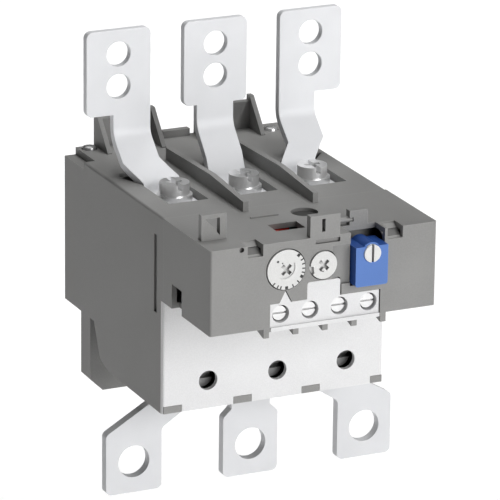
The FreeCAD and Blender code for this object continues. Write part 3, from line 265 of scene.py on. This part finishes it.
WHITE = (1.0, 1.0, 1.0)
FLOOR_SIZE = 6.0
FLOOR_GAP = 0.12
FLOOR_SHADES = ((0.94, 0.94, 0.94), (0.96, 0.96, 0.96))
FLOOR_CLOUD = 6.0
FLOOR_ROUGH = 0.9
FLOOR_GLOW = 0.21
SKY = 0.03
LAMPS = (
    {"name": "over", "place": (0.5, 0.1, 3.0), "target": (0.0, 0.0, -0.1),
     "size": 2.2, "spread": 180.0, "power": 43.0},
    {"name": "front", "place": (1.0, -2.8, 0.75), "target": (0.0, 0.0, -0.1),
     "size": 2.0, "spread": 180.0, "power": 68.0},
    {"name": "behind", "place": (0.35, 0.8, 1.6), "target": (0.35, 0.8, 0.0),
     "size": 0.8, "spread": 80.0, "power": 4.0},
)

# The camera, solved from the plates, holes and casing edges in the photograph: angles
# in degrees, its place in millimetres, and its focal length in pixels of the frame

AZIMUTH = -25.090
ELEVATION = 18.471
ROLL = 0.694
CAMERA_PLACE = (-566.77, -1239.32, 382.90)
FOCAL_PIXELS = 4258.18
FRAME_PIXELS = 500.0
SENSOR = 36.0
CLIP = (0.05, 50.0)


# Sizes and colours that a user would change


def colour(name, description, default):
    """A colour of the object, as a property."""
    return FloatVectorProperty(name=name, description=description, subtype="COLOR",
                               size=3, min=0.0, max=1.0, default=default)


def length(name, description, default):
    """A length of the object in metres, as a property."""
    return FloatProperty(name=name, description=description, unit="LENGTH", min=0.0,
                         default=default)


class RelayColours(PropertyGroup):
    """The colours of the relay's mouldings and metals."""

    casing: colour("Casing", "Grey moulding of the main housing", (0.270, 0.268, 0.262))
    cover: colour("Head cover", "Grey moulding of the front block",
                  (0.270, 0.268, 0.262))
    panel: colour("Light mouldings", "Front panel and terminal block",
                  (0.75, 0.75, 0.755))
    knob: colour("Knobs", "Setting dial and mode selector", (0.72, 0.72, 0.71))
    button: colour("Reset button", "Blue moulding of the button", (0.118, 0.22, 0.53))
    # Painted shade: a darker blue for the button's sides and top, which keeps its own blue
    # in front
    button_flank_shade: colour("Button flanks", "Blue of the button's sides and top",
                        (0.008, 0.05, 0.24))
    flag: colour("Trip flag", "Red moulding of the flag", (0.55, 0.03, 0.02))
    tinned: colour("Tinned copper", "Line bars and load tabs", (0.825, 0.832, 0.85))
    steel: colour("Plated steel", "Screws and washers", (0.86, 0.86, 0.86))
    ink: colour("Ink", "Printed marks of the dial", (0.02, 0.02, 0.02))


class RelaySizes(PropertyGroup):
    """The sizes of the line bars, the marks and the plastic's grain."""

    grain: length("Grain", "Width of one grain on moulded plastic", 0.35 * MM)
    mark_lift: length("Mark lift", "Height of a printed mark over its face", 0.04 * MM)
    tick_long: length("Tick", "Length of a tick at the dial's rim", 1.0 * MM)
    bar_thick: length("Bar thickness", "Thickness of the line bars' sheet", 2.8 * MM)
    bar_bend: length("Bar bend", "Reach of a line bar's bend from its corner", 3.4 * MM)


# Shader maths as Python expressions


class Val:
    """A socket that adds Math nodes as Python works out an expression."""

    def __init__(self, finish, socket):
        self.finish = finish
        self.socket = socket

    def math(self, operation, one, other):
        """Adds the Math node of two values."""
        return self.finish.node("ShaderNodeMath", {"operation": operation},
                                {0: one, 1: other})

    def __add__(self, other):
        return self.math("ADD", self, other)

    def __radd__(self, other):
        return self.math("ADD", other, self)

    def __sub__(self, other):
        return self.math("SUBTRACT", self, other)

    def __rsub__(self, other):
        return self.math("SUBTRACT", other, self)

    def __mul__(self, other):
        return self.math("MULTIPLY", self, other)

    def __rmul__(self, other):
        return self.math("MULTIPLY", other, self)

    def clamp(self):
        """The value kept between 0 and 1."""
        return self.finish.node("ShaderNodeClamp", {}, {0: self})


class Finish:
    """A material that is being built, with one method that adds any node."""

    def __init__(self, name):
        self.material = bpy.data.materials.new(name)
        self.material.use_nodes = True
        self.tree = self.material.node_tree
        self.tree.nodes.clear()

    def node(self, kind, settings=None, inputs=None, output=0):
        """Adds a node, with its settings first, then its sockets' values and links."""
        made = self.tree.nodes.new(kind)
        for key, setting in (settings or {}).items():
            if key == "stops":
                for element, (place, shade) in zip(made.color_ramp.elements, setting):
                    element.position = place
                    element.color = (shade, shade, shade, 1.0)
            else:
                setattr(made, key, setting)
        for key, given in (inputs or {}).items():
            socket = made.inputs[key]
            if isinstance(given, Val):
                self.tree.links.new(given.socket, socket)
            elif socket.type == "RGBA" and len(given) == 3:
                socket.default_value = (*given, 1.0)
            else:
                socket.default_value = given
        return Val(self, made.outputs[output]) if made.outputs else None

    def noise(self, scale, detail=2.0, rough=0.5, stretch=None):
        """Noise over coordinates in metres, which are the same for every piece."""
        spot = self.node("ShaderNodeTexCoord", output="Object")
        if stretch:
            spot = self.node("ShaderNodeMapping", {},
                             {"Vector": spot, "Scale": stretch})
        return self.node("ShaderNodeTexNoise", {},
                         {"Vector": spot, "Scale": scale, "Detail": detail,
                          "Roughness": rough})

    def ramp(self, socket, stops):
        """A value led through a ramp of two grey stops."""
        return self.node("ShaderNodeValToRGB", {"stops": stops}, {"Fac": socket})

    def tint(self, base, mask, other):
        """A mix of two colours by a mask."""
        return self.node("ShaderNodeMix", {"data_type": "RGBA", "clamp_factor": True},
                         {MIX_FACTOR: mask, MIX_ONE: base, MIX_OTHER: other},
                         MIX_RESULT)

    def normal(self):
        """The direction that the surface faces."""
        return self.node("ShaderNodeNewGeometry", output="Normal")

    def edge(self, reach):
        """A mask that is 1 along the piece's edges."""
        bevel = self.node("ShaderNodeBevel", {"samples": EDGE_SAMPLES},
                          {"Radius": reach})
        same = self.node("ShaderNodeVectorMath", {"operation": "DOT_PRODUCT"},
                         {0: bevel, 1: self.normal()}, "Value")
        return ((1.0 - same) * EDGE_GAIN).clamp()

    def recess_shade(self, reach):
        """A mask of painted shade, from ambient occlusion: 1 inside slots, holes and
        narrow gaps, where shade falls.
        """
        open_air = self.node("ShaderNodeAmbientOcclusion",
                             {"samples": RECESS_SAMPLES, "only_local": True},
                             {"Distance": reach}, "AO")
        return ((RECESS_START - open_air) * RECESS_GAIN).clamp()

    def flank(self):
        """A painted-shade mask: 0 on faces that look to the front and 1 on all others."""
        away = self.node("ShaderNodeSeparateXYZ", {}, {"Vector": self.normal()}, "Y")
        return ((away + FRONT_LEAN) * FLANK_GAIN).clamp()

    def bump(self, height, relief, strength):
        """A normal that is roughened by a height."""
        return self.node("ShaderNodeBump", {},
                         {"Height": height, "Distance": relief, "Strength": strength})

    def shader(self, **inputs):
        """The finished material, with the shader's sockets given by name."""
        named = {key.replace("_", " "): given for key, given in inputs.items()}
        surface = self.node("ShaderNodeBsdfPrincipled", {}, named)
        self.node("ShaderNodeOutputMaterial", {}, {"Surface": surface})
        return self.material


def lighter(shade, amount):
    """A shade made paler, or darker where the amount is under 1."""
    return tuple(min(1.0, part * amount) for part in shade)


def moulded(name, shade, rough, mottle=0.05, flank_shade=None, gloss=0.5):
    """Moulded plastic: fine grain, faint flow mottling, edges paled by wear and painted
    highlight, painted shade in slots, and any flank shade painted on faces that don't look
    to the front."""
    finish = Finish(name)
    shade = tuple(shade)
    flow = finish.ramp(finish.noise(FLOW_SCALE, FINE_DETAIL), FLOW_STOPS)
    grain = finish.noise(1.0 / bpy.context.scene.relay_sizes.grain, rough=FINE_ROUGH)
    body = finish.tint(lighter(shade, 1.0 - mottle), flow, lighter(shade, 1.0 + mottle))
    body = finish.tint(body, finish.ramp(grain, GRAIN_STOPS) * GRAIN_SHARE,
                       lighter(shade, GRAIN_PALER))
    # Painted shade: faces that don't look to the front take the flank shade
    if flank_shade:
        body = finish.tint(body, finish.flank() * FLANK_SHADE_SHARE, tuple(flank_shade))
    # Paler edges: partly wear, partly painted highlight
    body = finish.tint(body, finish.edge(WEAR_AND_HIGHLIGHT_REACH) * WEAR_AND_HIGHLIGHT_SHARE,
                       lighter(shade, WEAR_AND_HIGHLIGHT_PALER))
    # Painted shade where slots, holes and gaps would be in shade
    body = finish.tint(body, finish.recess_shade(SLOT_SHADE_REACH) * SLOT_SHADE_SHARE,
                       lighter(shade, SLOT_SHADE_DARKER))
    roughness = flow * FLOW_ROUGH + grain * GRAIN_ROUGH + (rough - PLASTIC_ROUGH_DROP)
    return finish.shader(Base_Color=body, Roughness=roughness, Specular_IOR_Level=gloss,
                         IOR=PLASTIC_IOR,
                         Normal=finish.bump(grain, GRAIN_RELIEF, GRAIN_STRENGTH))


def rolled(name, shade, rough, along=ALONG_SHEET, streak=0.08, metal=1.0,
           relief=STREAK_RELIEF):
    """Rolled or plated metal: streaks, cloudy plating, edges paled by polish and painted
    highlight, and painted shade in crevices.
    """
    finish = Finish(name)
    shade = tuple(shade)
    streaks = finish.noise(STREAK_SCALE, FINE_DETAIL, FINE_ROUGH, along)
    plating = finish.ramp(finish.noise(PLATING_SCALE, FINE_DETAIL), PLATING_STOPS)
    body = finish.tint(lighter(shade, 1.0 - streak), streaks,
                       lighter(shade, 1.0 + streak))
    body = finish.tint(body, plating * PLATING_SHARE, lighter(shade, PLATING_DARKER))
    # Brighter edges: partly polish, partly painted highlight
    body = finish.tint(body, finish.edge(POLISH_AND_HIGHLIGHT_REACH) * POLISH_AND_HIGHLIGHT_SHARE,
                       lighter(shade, POLISH_AND_HIGHLIGHT_PALER))
    # Painted shade where crevices and slots would be in shade
    body = finish.tint(body, finish.recess_shade(CREVICE_SHADE_REACH) * CREVICE_SHADE_SHARE,
                       lighter(shade, CREVICE_SHADE_DARKER))
    roughness = (streaks * STREAK_ROUGH + plating * PLATING_ROUGH
                 + (rough - METAL_ROUGH_DROP))
    return finish.shader(Base_Color=body, Metallic=metal, Roughness=roughness,
                         Normal=finish.bump(streaks, relief, STREAK_STRENGTH))


def printed(name, shade):
    """Printing ink, a little uneven where it lies on the grain."""
    finish = Finish(name)
    shade = tuple(shade)
    speck = finish.noise(INK_SCALE)
    ink = finish.tint(shade, speck * INK_SHARE, lighter(shade, INK_PALER))
    return finish.shader(Base_Color=ink, Roughness=speck * INK_ROUGH_SPREAD + INK_ROUGH,
                         Normal=finish.bump(speck, INK_RELIEF, INK_STRENGTH))


def dress(material, *nodes):
    """Gives carried-over solids their finish."""
    for node in nodes:
        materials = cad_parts[node].data.materials
        materials.clear()
        materials.append(material)


def finish_of(node):
    """The finish that a solid has been given."""
    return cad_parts[node].data.materials[0]


# Meshes in work, from points in millimetres


def ring(sheet, points):
    """Adds a row of points to a mesh in work."""
    return [sheet.verts.new([number * MM for number in point]) for point in points]


def bridge(sheet, one, other, closed=True):
    """Joins two rows of points by four-sided faces."""
    for index in range(len(one) if closed else len(one) - 1):
        after = (index + 1) % len(one)
        sheet.faces.new((one[index], one[after], other[after], other[index]))


def stack(sheet, *rows):
    """Adds a closed form of rings that are joined in turn, with a face at each end."""
    rings = [ring(sheet, points) for points in rows]
    sheet.faces.new(rings[0][::-1])
    sheet.faces.new(rings[-1])
    for one, other in zip(rings, rings[1:]):
        bridge(sheet, one, other)


def slab(sheet, points, front, back):
    """Adds a flat form: its outline in X and Z, and the Y of its front and its back."""
    stack(sheet, *([(x, y, z) for x, z in points] for y in (front, back)))


def arc(x, y, radius, start, end, steps=5):
    """Points along an arc, with its angles in degrees."""
    turns = [math.radians(start + (end - start) * step / steps)
             for step in range(steps + 1)]
    return [(x + radius * math.cos(turn), y + radius * math.sin(turn))
            for turn in turns]


def circle(x, y, radius, sides):
    """Points round a circle, clockwise, as the holes of a blank need."""
    return arc(x, y, radius, 360.0, 360.0 / sides, sides - 1)


def mark_outline(centre, angle, near, far, half):
    """The corners, in X and Z, of a mark that lies along a ray from a face's centre."""
    turn = math.radians(angle)
    corners = ((near, -half), (far, -half), (far, half), (near, half))
    return [(centre[0] + along * math.cos(turn) - across * math.sin(turn),
             centre[2] + along * math.sin(turn) + across * math.cos(turn))
            for along, across in corners]


def put(name, data):
    """Adds an object to the scene."""
    thing = bpy.data.objects.new(name, data)
    bpy.context.scene.collection.objects.link(thing)
    return thing


def new_piece(name, sheet, material, body, smooth=None):
    """Makes a piece of a mesh in work, with its finish and the body that it rides on.
    Edges are smoothed where they are flatter than the angle, in degrees."""
    bmesh.ops.recalc_face_normals(sheet, faces=sheet.faces[:])
    mesh = bpy.data.meshes.new(name)
    sheet.to_mesh(mesh)
    sheet.free()
    if smooth is not None:
        mesh.shade_smooth()
        mesh.set_sharp_from_angle(angle=math.radians(smooth))
    mesh.materials.append(material)
    piece = put(name, mesh)
    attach(piece, body)
    return piece


# The line bars


class Bend:
    """The centre line of a bent bar with rounded corners, measured along its length."""

    def __init__(self, corners, reach):
        corners = [Vector(corner) for corner in corners]
        line = [corners[0]]
        for before, corner, after in zip(corners, corners[1:], corners[2:]):
            cut = min(reach, (before - corner).length * BEND_SHARE,
                      (after - corner).length * BEND_SHARE)
            start = corner + (before - corner).normalized() * cut
            end = corner + (after - corner).normalized() * cut
            for step in range(BEND_STEPS + 1):
                part = step / BEND_STEPS
                line.append(start * (1 - part) ** 2 + corner * (2 * part * (1 - part))
                            + end * part ** 2)
        line.append(corners[-1])
        self.line = line
        self.far = [0.0]
        for one, other in zip(line, line[1:]):
            self.far.append(self.far[-1] + (other - one).length)
        self.slopes = []
        for index in range(len(line)):
            one, other = line[max(index - 1, 0)], line[min(index + 1, len(line) - 1)]
            self.slopes.append((other - one).normalized())

    def reach_of(self, y):
        """How far along the line the bar first comes this far to the front."""
        for index in range(len(self.line) - 1):
            one, other = self.line[index], self.line[index + 1]
            if one.x >= y > other.x:
                part = (one.x - y) / (one.x - other.x)
                return self.far[index] + part * (self.far[index + 1] - self.far[index])
        return self.far[-1]

    def spot(self, x, along, out):
        """The place, in metres, of a point of the flat sheet once the sheet is bent."""
        index = 0
        while index < len(self.far) - 2 and along > self.far[index + 1]:
            index += 1
        part = (along - self.far[index]) / (self.far[index + 1] - self.far[index])
        centre = self.line[index].lerp(self.line[index + 1], part)
        slope = self.slopes[index].lerp(self.slopes[index + 1], min(max(part, 0), 1))
        slope.normalize()
        return Vector((x, centre.x + out * slope.y, centre.y - out * slope.x)) * MM


def blank(pole, bend):
    """A bar's flat outline, with X to the right and its length downwards."""
    low, high = PLATES[pole]
    neck_low, neck_high = NECKS[pole]
    pad_low, pad_high = PADS[pole]
    foot, end, turn = -PLATE_LENGTH, -bend.far[-1], PLATE_CORNER
    left, right = ([-bend.reach_of(y) for y in jog] for jog in (JOG_LEFT, JOG_RIGHT))
    points = arc(high - turn, -turn, turn, 0, 90)
    points += arc(low + turn, -turn, turn, 90, 180)
    if neck_low > low:
        points += arc(low + turn, foot + turn, turn, 180, 270) + [(neck_low, foot)]
    points += [(neck_low, left[0]), (pad_low, left[1]), (pad_low, end)]
    points += [(pad_high, end), (pad_high, right[1]), (neck_high, right[0])]
    if neck_high < high:
        points += [(neck_high, foot)] + arc(high - turn, foot + turn, turn, 270, 360)
    return points


def pressed(outlines, thick):
    """A flat sheet with eased rims, cut to its outline and holes, as a mesh in work."""
    flat = bpy.data.curves.new("blank", "CURVE")
    flat.dimensions = "2D"
    flat.fill_mode = "BOTH"
    flat.extrude = thick / 2 - BAR_RIM
    flat.bevel_depth = BAR_RIM
    flat.bevel_resolution = 1
    flat.offset = -BAR_RIM
    for points in outlines:
        spline = flat.splines.new("POLY")
        spline.points.add(len(points) - 1)
        for spot, (x, y) in zip(spline.points, points):
            spot.co = (x, y, 0.0, 1.0)
        spline.use_cyclic_u = True
    stand = bpy.data.objects.new("blank", flat)
    mesh = bpy.data.meshes.new_from_object(stand)
    sheet = bmesh.new()
    sheet.from_mesh(mesh)
    bpy.data.objects.remove(stand)
    bpy.data.curves.remove(flat)
    bpy.data.meshes.remove(mesh)
    return sheet


def bent_bar(pole, thick, reach):
    """A line bar: a stamped blank with holes, cut into strips and bent to its line."""
    bend = Bend(MIDDLE_LINE if pole == "middle" else OUTER_LINE, reach)
    plate_x, pad_x = sum(PLATES[pole]) / 2, sum(PADS[pole]) / 2
    outlines = [blank(pole, bend)]
    outlines += [circle(plate_x, -down, PLATE_HOLE_RADIUS, PLATE_HOLE_SIDES)
                 for down in PLATE_HOLES]
    outlines.append(circle(pad_x, -bend.reach_of(CLAMP_Y), CLAMP_HOLE_RADIUS,
                           CLAMP_HOLE_SIDES))
    sheet = pressed(outlines, thick)
    for cut in (bend.far[1] - FLAT_END, *bend.far[1:-1]):
        bmesh.ops.bisect_plane(
            sheet, geom=sheet.verts[:] + sheet.edges[:] + sheet.faces[:],
            dist=CUT_REACH, plane_co=(0, -cut, 0), plane_no=(0, 1, 0))
    bmesh.ops.remove_doubles(sheet, verts=sheet.verts[:], dist=MERGE_REACH)
    for vert in sheet.verts:
        vert.co = bend.spot(vert.co.x, -vert.co.y, vert.co.z)
    return sheet


# Operators, one for each piece or group of like pieces, and one for the stage


class RELAY_OT_casing(Operator):
    """Finishes the main housing and the head cover"""

    bl_idname = "relay.casing"
    bl_label = "Casing"

    def execute(self, context):
        colours = context.scene.relay_colours
        dress(moulded("casing_grain", colours.casing, rough=0.52), "main_housing")
        dress(moulded("cover_grain", colours.cover, rough=0.5), "head_cover")
        return {"FINISHED"}


class RELAY_OT_notch_floors(Operator):
    """Adds the sloping floors of the two notches in the head's top front edge, darkened as
    painted shade
    """

    bl_idname = "relay.notch_floors"
    bl_label = "Notch Floors"

    def execute(self, context):
        # The floors take a darker copy of the cover, as painted shade
        shade = lighter(context.scene.relay_colours.cover, NOTCH_SHADE_DARKER)
        dark = moulded("notch_shade_grain", shade, rough=0.55)
        sheet = bmesh.new()
        for left in NOTCHES:
            stack(sheet, *([(x, y, z) for y, z in NOTCH_RAMP]
                           for x in (left - NOTCH_INSET, left + NOTCH_WIDTH)))
        new_piece("notch_floors", sheet, dark, "relay")
        return {"FINISHED"}


class RELAY_OT_pit_shadow_disc(Operator):
    """Adds a dark disc on the floor of the round pit in the head's top, as a painted
    shadow
    """

    bl_idname = "relay.pit_floor"
    bl_label = "Pit Floor"

    def execute(self, context):
        # The disc paints the shadow inside the pit
        dark = moulded("pit_shadow_grain", PIT_SHADOW_SHADE, rough=0.6)
        sheet = bmesh.new()
        stack(sheet, *([(x, y, z) for x, y in circle(*PIT, radius, PIT_SIDES)]
                       for radius, z in PIT_RINGS))
        new_piece("pit_floor", sheet, dark, "relay", PIT_SMOOTH)
        return {"FINISHED"}


class RELAY_OT_light_mouldings(Operator):
    """Finishes the front panel, the terminal block and the trip slider"""

    bl_idname = "relay.light_mouldings"
    bl_label = "Light Mouldings"

    def execute(self, context):
        shade = context.scene.relay_colours.panel
        pale = moulded("pale_grain", shade, rough=0.45, mottle=0.02)
        dress(pale, "front_panel", "aux_terminal_block", "trip_slider")
        return {"FINISHED"}


class RELAY_OT_terminal_skirt(Operator):
    """Adds the terminal block's thin skirt over the sill under it"""

    bl_idname = "relay.terminal_skirt"
    bl_label = "Terminal Skirt"

    def execute(self, context):
        (left, right), (low, high), corner = SKIRT_X, SKIRT_Z, SKIRT_CORNER
        outline = ((left, high), (right, high), (right, low + corner),
                   (right - corner, low), (left + corner, low), (left, low + corner))
        sheet = bmesh.new()
        slab(sheet, outline, *SKIRT_Y)
        new_piece("terminal_skirt", sheet, finish_of("aux_terminal_block"), "relay")
        return {"FINISHED"}


class RELAY_OT_line_bars(Operator):
    """Adds the line bars with rounded bends, in place of the creased solids"""

    bl_idname = "relay.line_bars"
    bl_label = "Line Bars"

    def execute(self, context):
        sizes = context.scene.relay_sizes
        tinned = rolled("tinned_copper", context.scene.relay_colours.tinned,
                        rough=TINNED_ROUGH, streak=TINNED_STREAK, metal=TINNED_METAL)
        for pole in POLES:
            dress(tinned, "line_bar_" + pole)
            sheet = bent_bar(pole, sizes.bar_thick / MM, sizes.bar_bend / MM)
            bar = new_piece("bent_bar_" + pole, sheet, tinned, "relay",
                            BAR_SMOOTH)
            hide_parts("line_bar_" + pole)
        return {"FINISHED"}


class RELAY_OT_conductors(Operator):
    """Finishes the load tabs, heater ribbons and bimetal strips"""

    bl_idname = "relay.conductors"
    bl_label = "Conductors"

    def execute(self, context):
        shade = lighter(context.scene.relay_colours.tinned, TAB_DARKER)
        finishes = {
            "load_tab_": rolled("tinned_tab", shade, rough=TINNED_ROUGH,
                                streak=TINNED_STREAK, metal=TINNED_METAL),
            "heater_": rolled("heater_alloy", HEATER_SHADE, rough=0.4),
            "bimetal_": rolled("bimetal_strip", BIMETAL_SHADE, rough=0.35),
        }
        for kind, metal in finishes.items():
            dress(metal, *(kind + pole for pole in POLES))
        return {"FINISHED"}


class RELAY_OT_fasteners(Operator):
    """Finishes the screws, washers, nuts, clamps, leaves, pins and the spring"""

    bl_idname = "relay.fasteners"
    bl_label = "Fasteners"

    def execute(self, context):
        steel = context.scene.relay_colours.steel
        plated = rolled("plated_steel", steel, rough=0.3, along=EVEN, streak=0.04,
                        metal=0.75, relief=PLATED_RELIEF)
        # The load clamp screws and nuts sit down the panel's holes: a darker copy of the
        # steel paints the holes' shade
        hole_shaded = rolled("hole_shaded_steel", lighter(steel, HOLE_SHADE_DARKER), rough=0.4, along=EVEN,
                      streak=0.1, metal=0.7, relief=PLATED_RELIEF)
        dress(plated, "line_clamp_screws", "line_clamp_washers", "line_clamp_nuts",
              "aux_terminal_screws", "rear_fixing_screws", "pivot_pins", "reset_spring")
        dress(hole_shaded, "load_clamp_screws", "load_clamp_nuts")
        dress(rolled("bronze_strip", BRONZE_SHADE, rough=0.3), "aux_terminal_clamps",
              "contact_leaf_closed", "contact_leaf_open")
        return {"FINISHED"}


class RELAY_OT_screw_crowns(Operator):
    """Adds the domed and slotted crowns of the rear fixing screws"""

    bl_idname = "relay.screw_crowns"
    bl_label = "Screw Crowns"

    def execute(self, context):
        sheet = bmesh.new()
        for x, y in REAR_SCREWS:
            for side in (0.0, 180.0):
                start, end = side + CROWN_SLOT, side + 180.0 - CROWN_SLOT
                stack(sheet, *([(x + across, y + along, z) for across, along
                                in arc(0, 0, radius, start, end, CROWN_STEPS)]
                               for radius, z in CROWN_RINGS))
        new_piece("rear_screw_crowns", sheet, finish_of("rear_fixing_screws"), "relay",
                  CROWN_SMOOTH)
        return {"FINISHED"}


class RELAY_OT_controls(Operator):
    """Finishes the dials, the button, the stud, the flag and the trip levers"""

    bl_idname = "relay.controls"
    bl_label = "Controls"

    def execute(self, context):
        colours = context.scene.relay_colours
        dress(moulded("knob_grain", colours.knob, rough=0.4, mottle=0.03),
              "setting_dial", "mode_selector", "stop_stud")
        # The button's sides and top take a painted shade
        dress(moulded("button_grain", colours.button, rough=0.32, mottle=0.04,
                      flank_shade=colours.button_flank_shade, gloss=0.12), "reset_button")
        dress(moulded("flag_grain", colours.flag, rough=0.3, mottle=0.04), "trip_flag")
        dress(moulded("lever_grain", LEVER_SHADE, rough=0.45),
              "compensation_lever", "contact_rocker")
        return {"FINISHED"}


class RELAY_OT_flag_tongue(Operator):
    """Adds the flag's tongue, which shows red behind the trip window's front edge"""

    bl_idname = "relay.flag_tongue"
    bl_label = "Flag Tongue"

    def execute(self, context):
        sheet = bmesh.new()
        stack(sheet, *([(x, y, z) for x, y in TONGUE] for z in TONGUE_Z))
        new_piece("flag_tongue", sheet, finish_of("trip_flag"), "rocker")
        return {"FINISHED"}


class RELAY_OT_dial_marks(Operator):
    """Adds the squares and ticks round the dial, and the marks of dial and selector"""

    bl_idname = "relay.dial_marks"
    bl_label = "Dial Marks"

    def execute(self, context):
        sizes = context.scene.relay_sizes
        lift, tick = sizes.mark_lift / MM, sizes.tick_long / MM
        ink = printed("dial_ink", context.scene.relay_colours.ink)
        marks = [(angle, DIAL_RIM - SQUARE, DIAL_RIM, SQUARE / 2)
                 for angle in DIAL_SQUARES]
        marks += [(angle, DIAL_RIM - tick, DIAL_RIM, TICK_HALF) for angle in DIAL_TICKS]
        marks += DIAL_DOTS
        for name, body, face, printing in (
                ("dial_marks", "dial", DIAL, marks),
                ("selector_mark", "selector", SELECTOR, [SELECTOR_MARK])):
            sheet = bmesh.new()
            for mark in printing:
                slab(sheet, mark_outline(face, *mark), face[1] - lift,
                     face[1] + MARK_SINK)
            new_piece(name, sheet, ink, body)
        return {"FINISHED"}


class RELAY_OT_stud_sleeve(Operator):
    """Adds the button's thin arch over the stud's shank"""

    bl_idname = "relay.stud_sleeve"
    bl_label = "Stud Sleeve"

    def execute(self, context):
        sheet = bmesh.new()
        outer_front, inner_front, outer_back, inner_back = (
            ring(sheet, [(x, y, z) for x, z
                         in arc(*SLEEVE_AXIS, radius, *SLEEVE_SPAN, SLEEVE_STEPS)])
            for y in SLEEVE_Y for radius in SLEEVE_RADII)
        for one, other in ((outer_front, outer_back), (inner_back, inner_front),
                           (inner_front, outer_front), (outer_back, inner_back)):
            bridge(sheet, one, other, closed=False)
        for end in (0, -1):
            sheet.faces.new((outer_front[end], outer_back[end], inner_back[end],
                             inner_front[end]))
        new_piece("stud_sleeve", sheet, finish_of("reset_button"), "button",
                  SLEEVE_SMOOTH)
        return {"FINISHED"}


class RELAY_OT_stage(Operator):
    """Sets up the floor, the soft light and the camera at the photograph's angle"""

    bl_idname = "relay.stage"
    bl_label = "Stage"

    def execute(self, context):
        self.floor()
        self.light(context.scene)
        self.camera(context.scene)
        return {"FINISHED"}

    def floor(self):
        """A wide pale light table, some way under the hanging part."""
        mesh = bpy.data.meshes.new("floor")
        sheet = bmesh.new()
        spot = Matrix.Translation((0, 0, CAD_BOX[0][2] - FLOOR_GAP))
        bmesh.ops.create_grid(sheet, x_segments=2, y_segments=2, size=FLOOR_SIZE,
                              matrix=spot)
        sheet.to_mesh(mesh)
        sheet.free()
        finish = Finish("floor_pale")
        one, other = FLOOR_SHADES
        pale = finish.tint(one, finish.noise(FLOOR_CLOUD), other)
        mesh.materials.append(finish.shader(
            Base_Color=pale, Roughness=FLOOR_ROUGH, Emission_Color=WHITE,
            Emission_Strength=FLOOR_GLOW))
        put("floor", mesh)

    def light(self, scene):
        """A dim surrounding, and large soft lamps above and in front."""
        scene.view_settings.view_transform = "Standard"
        scene.world = bpy.data.worlds.new("studio")
        scene.world.use_nodes = True
        sky = scene.world.node_tree.nodes["Background"]
        sky.inputs["Color"].default_value = (*WHITE, 1.0)
        sky.inputs["Strength"].default_value = SKY
        for given in LAMPS:
            lamp = bpy.data.lights.new(given["name"], "AREA")
            lamp.size = given["size"]
            lamp.spread = math.radians(given["spread"])
            lamp.energy = given["power"]
            stand = put(given["name"], lamp)
            stand.location = given["place"]
            aim = Vector(given["target"]) - Vector(given["place"])
            stand.rotation_euler = aim.to_track_quat("-Z", "Y").to_euler()

    def camera(self, scene):
        """The photograph's camera."""
        azimuth, elevation, roll = (math.radians(turn)
                                    for turn in (AZIMUTH, ELEVATION, ROLL))
        back = Vector((math.sin(azimuth) * math.cos(elevation),
                       -math.cos(azimuth) * math.cos(elevation), math.sin(elevation)))
        right = Vector((math.cos(azimuth), math.sin(azimuth), 0.0))
        up = back.cross(right)
        across = right * math.cos(roll) + up * math.sin(roll)
        above = up * math.cos(roll) - right * math.sin(roll)
        lens = bpy.data.cameras.new("camera")
        lens.sensor_width = SENSOR
        lens.lens = SENSOR * FOCAL_PIXELS / FRAME_PIXELS
        lens.clip_start, lens.clip_end = CLIP
        scene.camera = put("camera", lens)
        turn = Matrix((across, above, back)).transposed().to_4x4()
        scene.camera.matrix_world = Matrix.Translation(Vector(CAMERA_PLACE) * MM) @ turn


class RELAY_PT_looks(Panel):
    """Lists the relay's operators, colours and sizes"""

    bl_idname = "RELAY_PT_looks"
    bl_label = "Overload Relay"
    bl_space_type = "VIEW_3D"
    bl_region_type = "UI"
    bl_category = "Relay"

    def draw(self, context):
        """Draws the panel."""
        for step in STEPS:
            self.layout.operator(step.bl_idname)
        for group in (context.scene.relay_colours, context.scene.relay_sizes):
            for name in group.__annotations__:
                self.layout.prop(group, name)


STEPS = (
    RELAY_OT_casing,
    RELAY_OT_notch_floors,
    RELAY_OT_pit_shadow_disc,
    RELAY_OT_light_mouldings,
    RELAY_OT_terminal_skirt,
    RELAY_OT_line_bars,
    RELAY_OT_conductors,
    RELAY_OT_fasteners,
    RELAY_OT_screw_crowns,
    RELAY_OT_controls,
    RELAY_OT_flag_tongue,
    RELAY_OT_dial_marks,
    RELAY_OT_stud_sleeve,
    RELAY_OT_stage,
)
CLASSES = (RelayColours, RelaySizes, *STEPS, RELAY_PT_looks)


def register():
    """Makes the properties, operators and panel known."""
    for item in CLASSES:
        bpy.utils.register_class(item)
    bpy.types.Scene.relay_colours = PointerProperty(type=RelayColours)
    bpy.types.Scene.relay_sizes = PointerProperty(type=RelaySizes)


def unregister():
    """Takes them away again."""
    del bpy.types.Scene.relay_sizes
    del bpy.types.Scene.relay_colours
    for item in reversed(CLASSES):
        bpy.utils.unregister_class(item)


def main():
    """Builds the looks."""
    register()
    for step in STEPS:
        group, name = step.bl_idname.split(".")
        getattr(getattr(bpy.ops, group), name)()


if __name__ == "__main__":
    main()
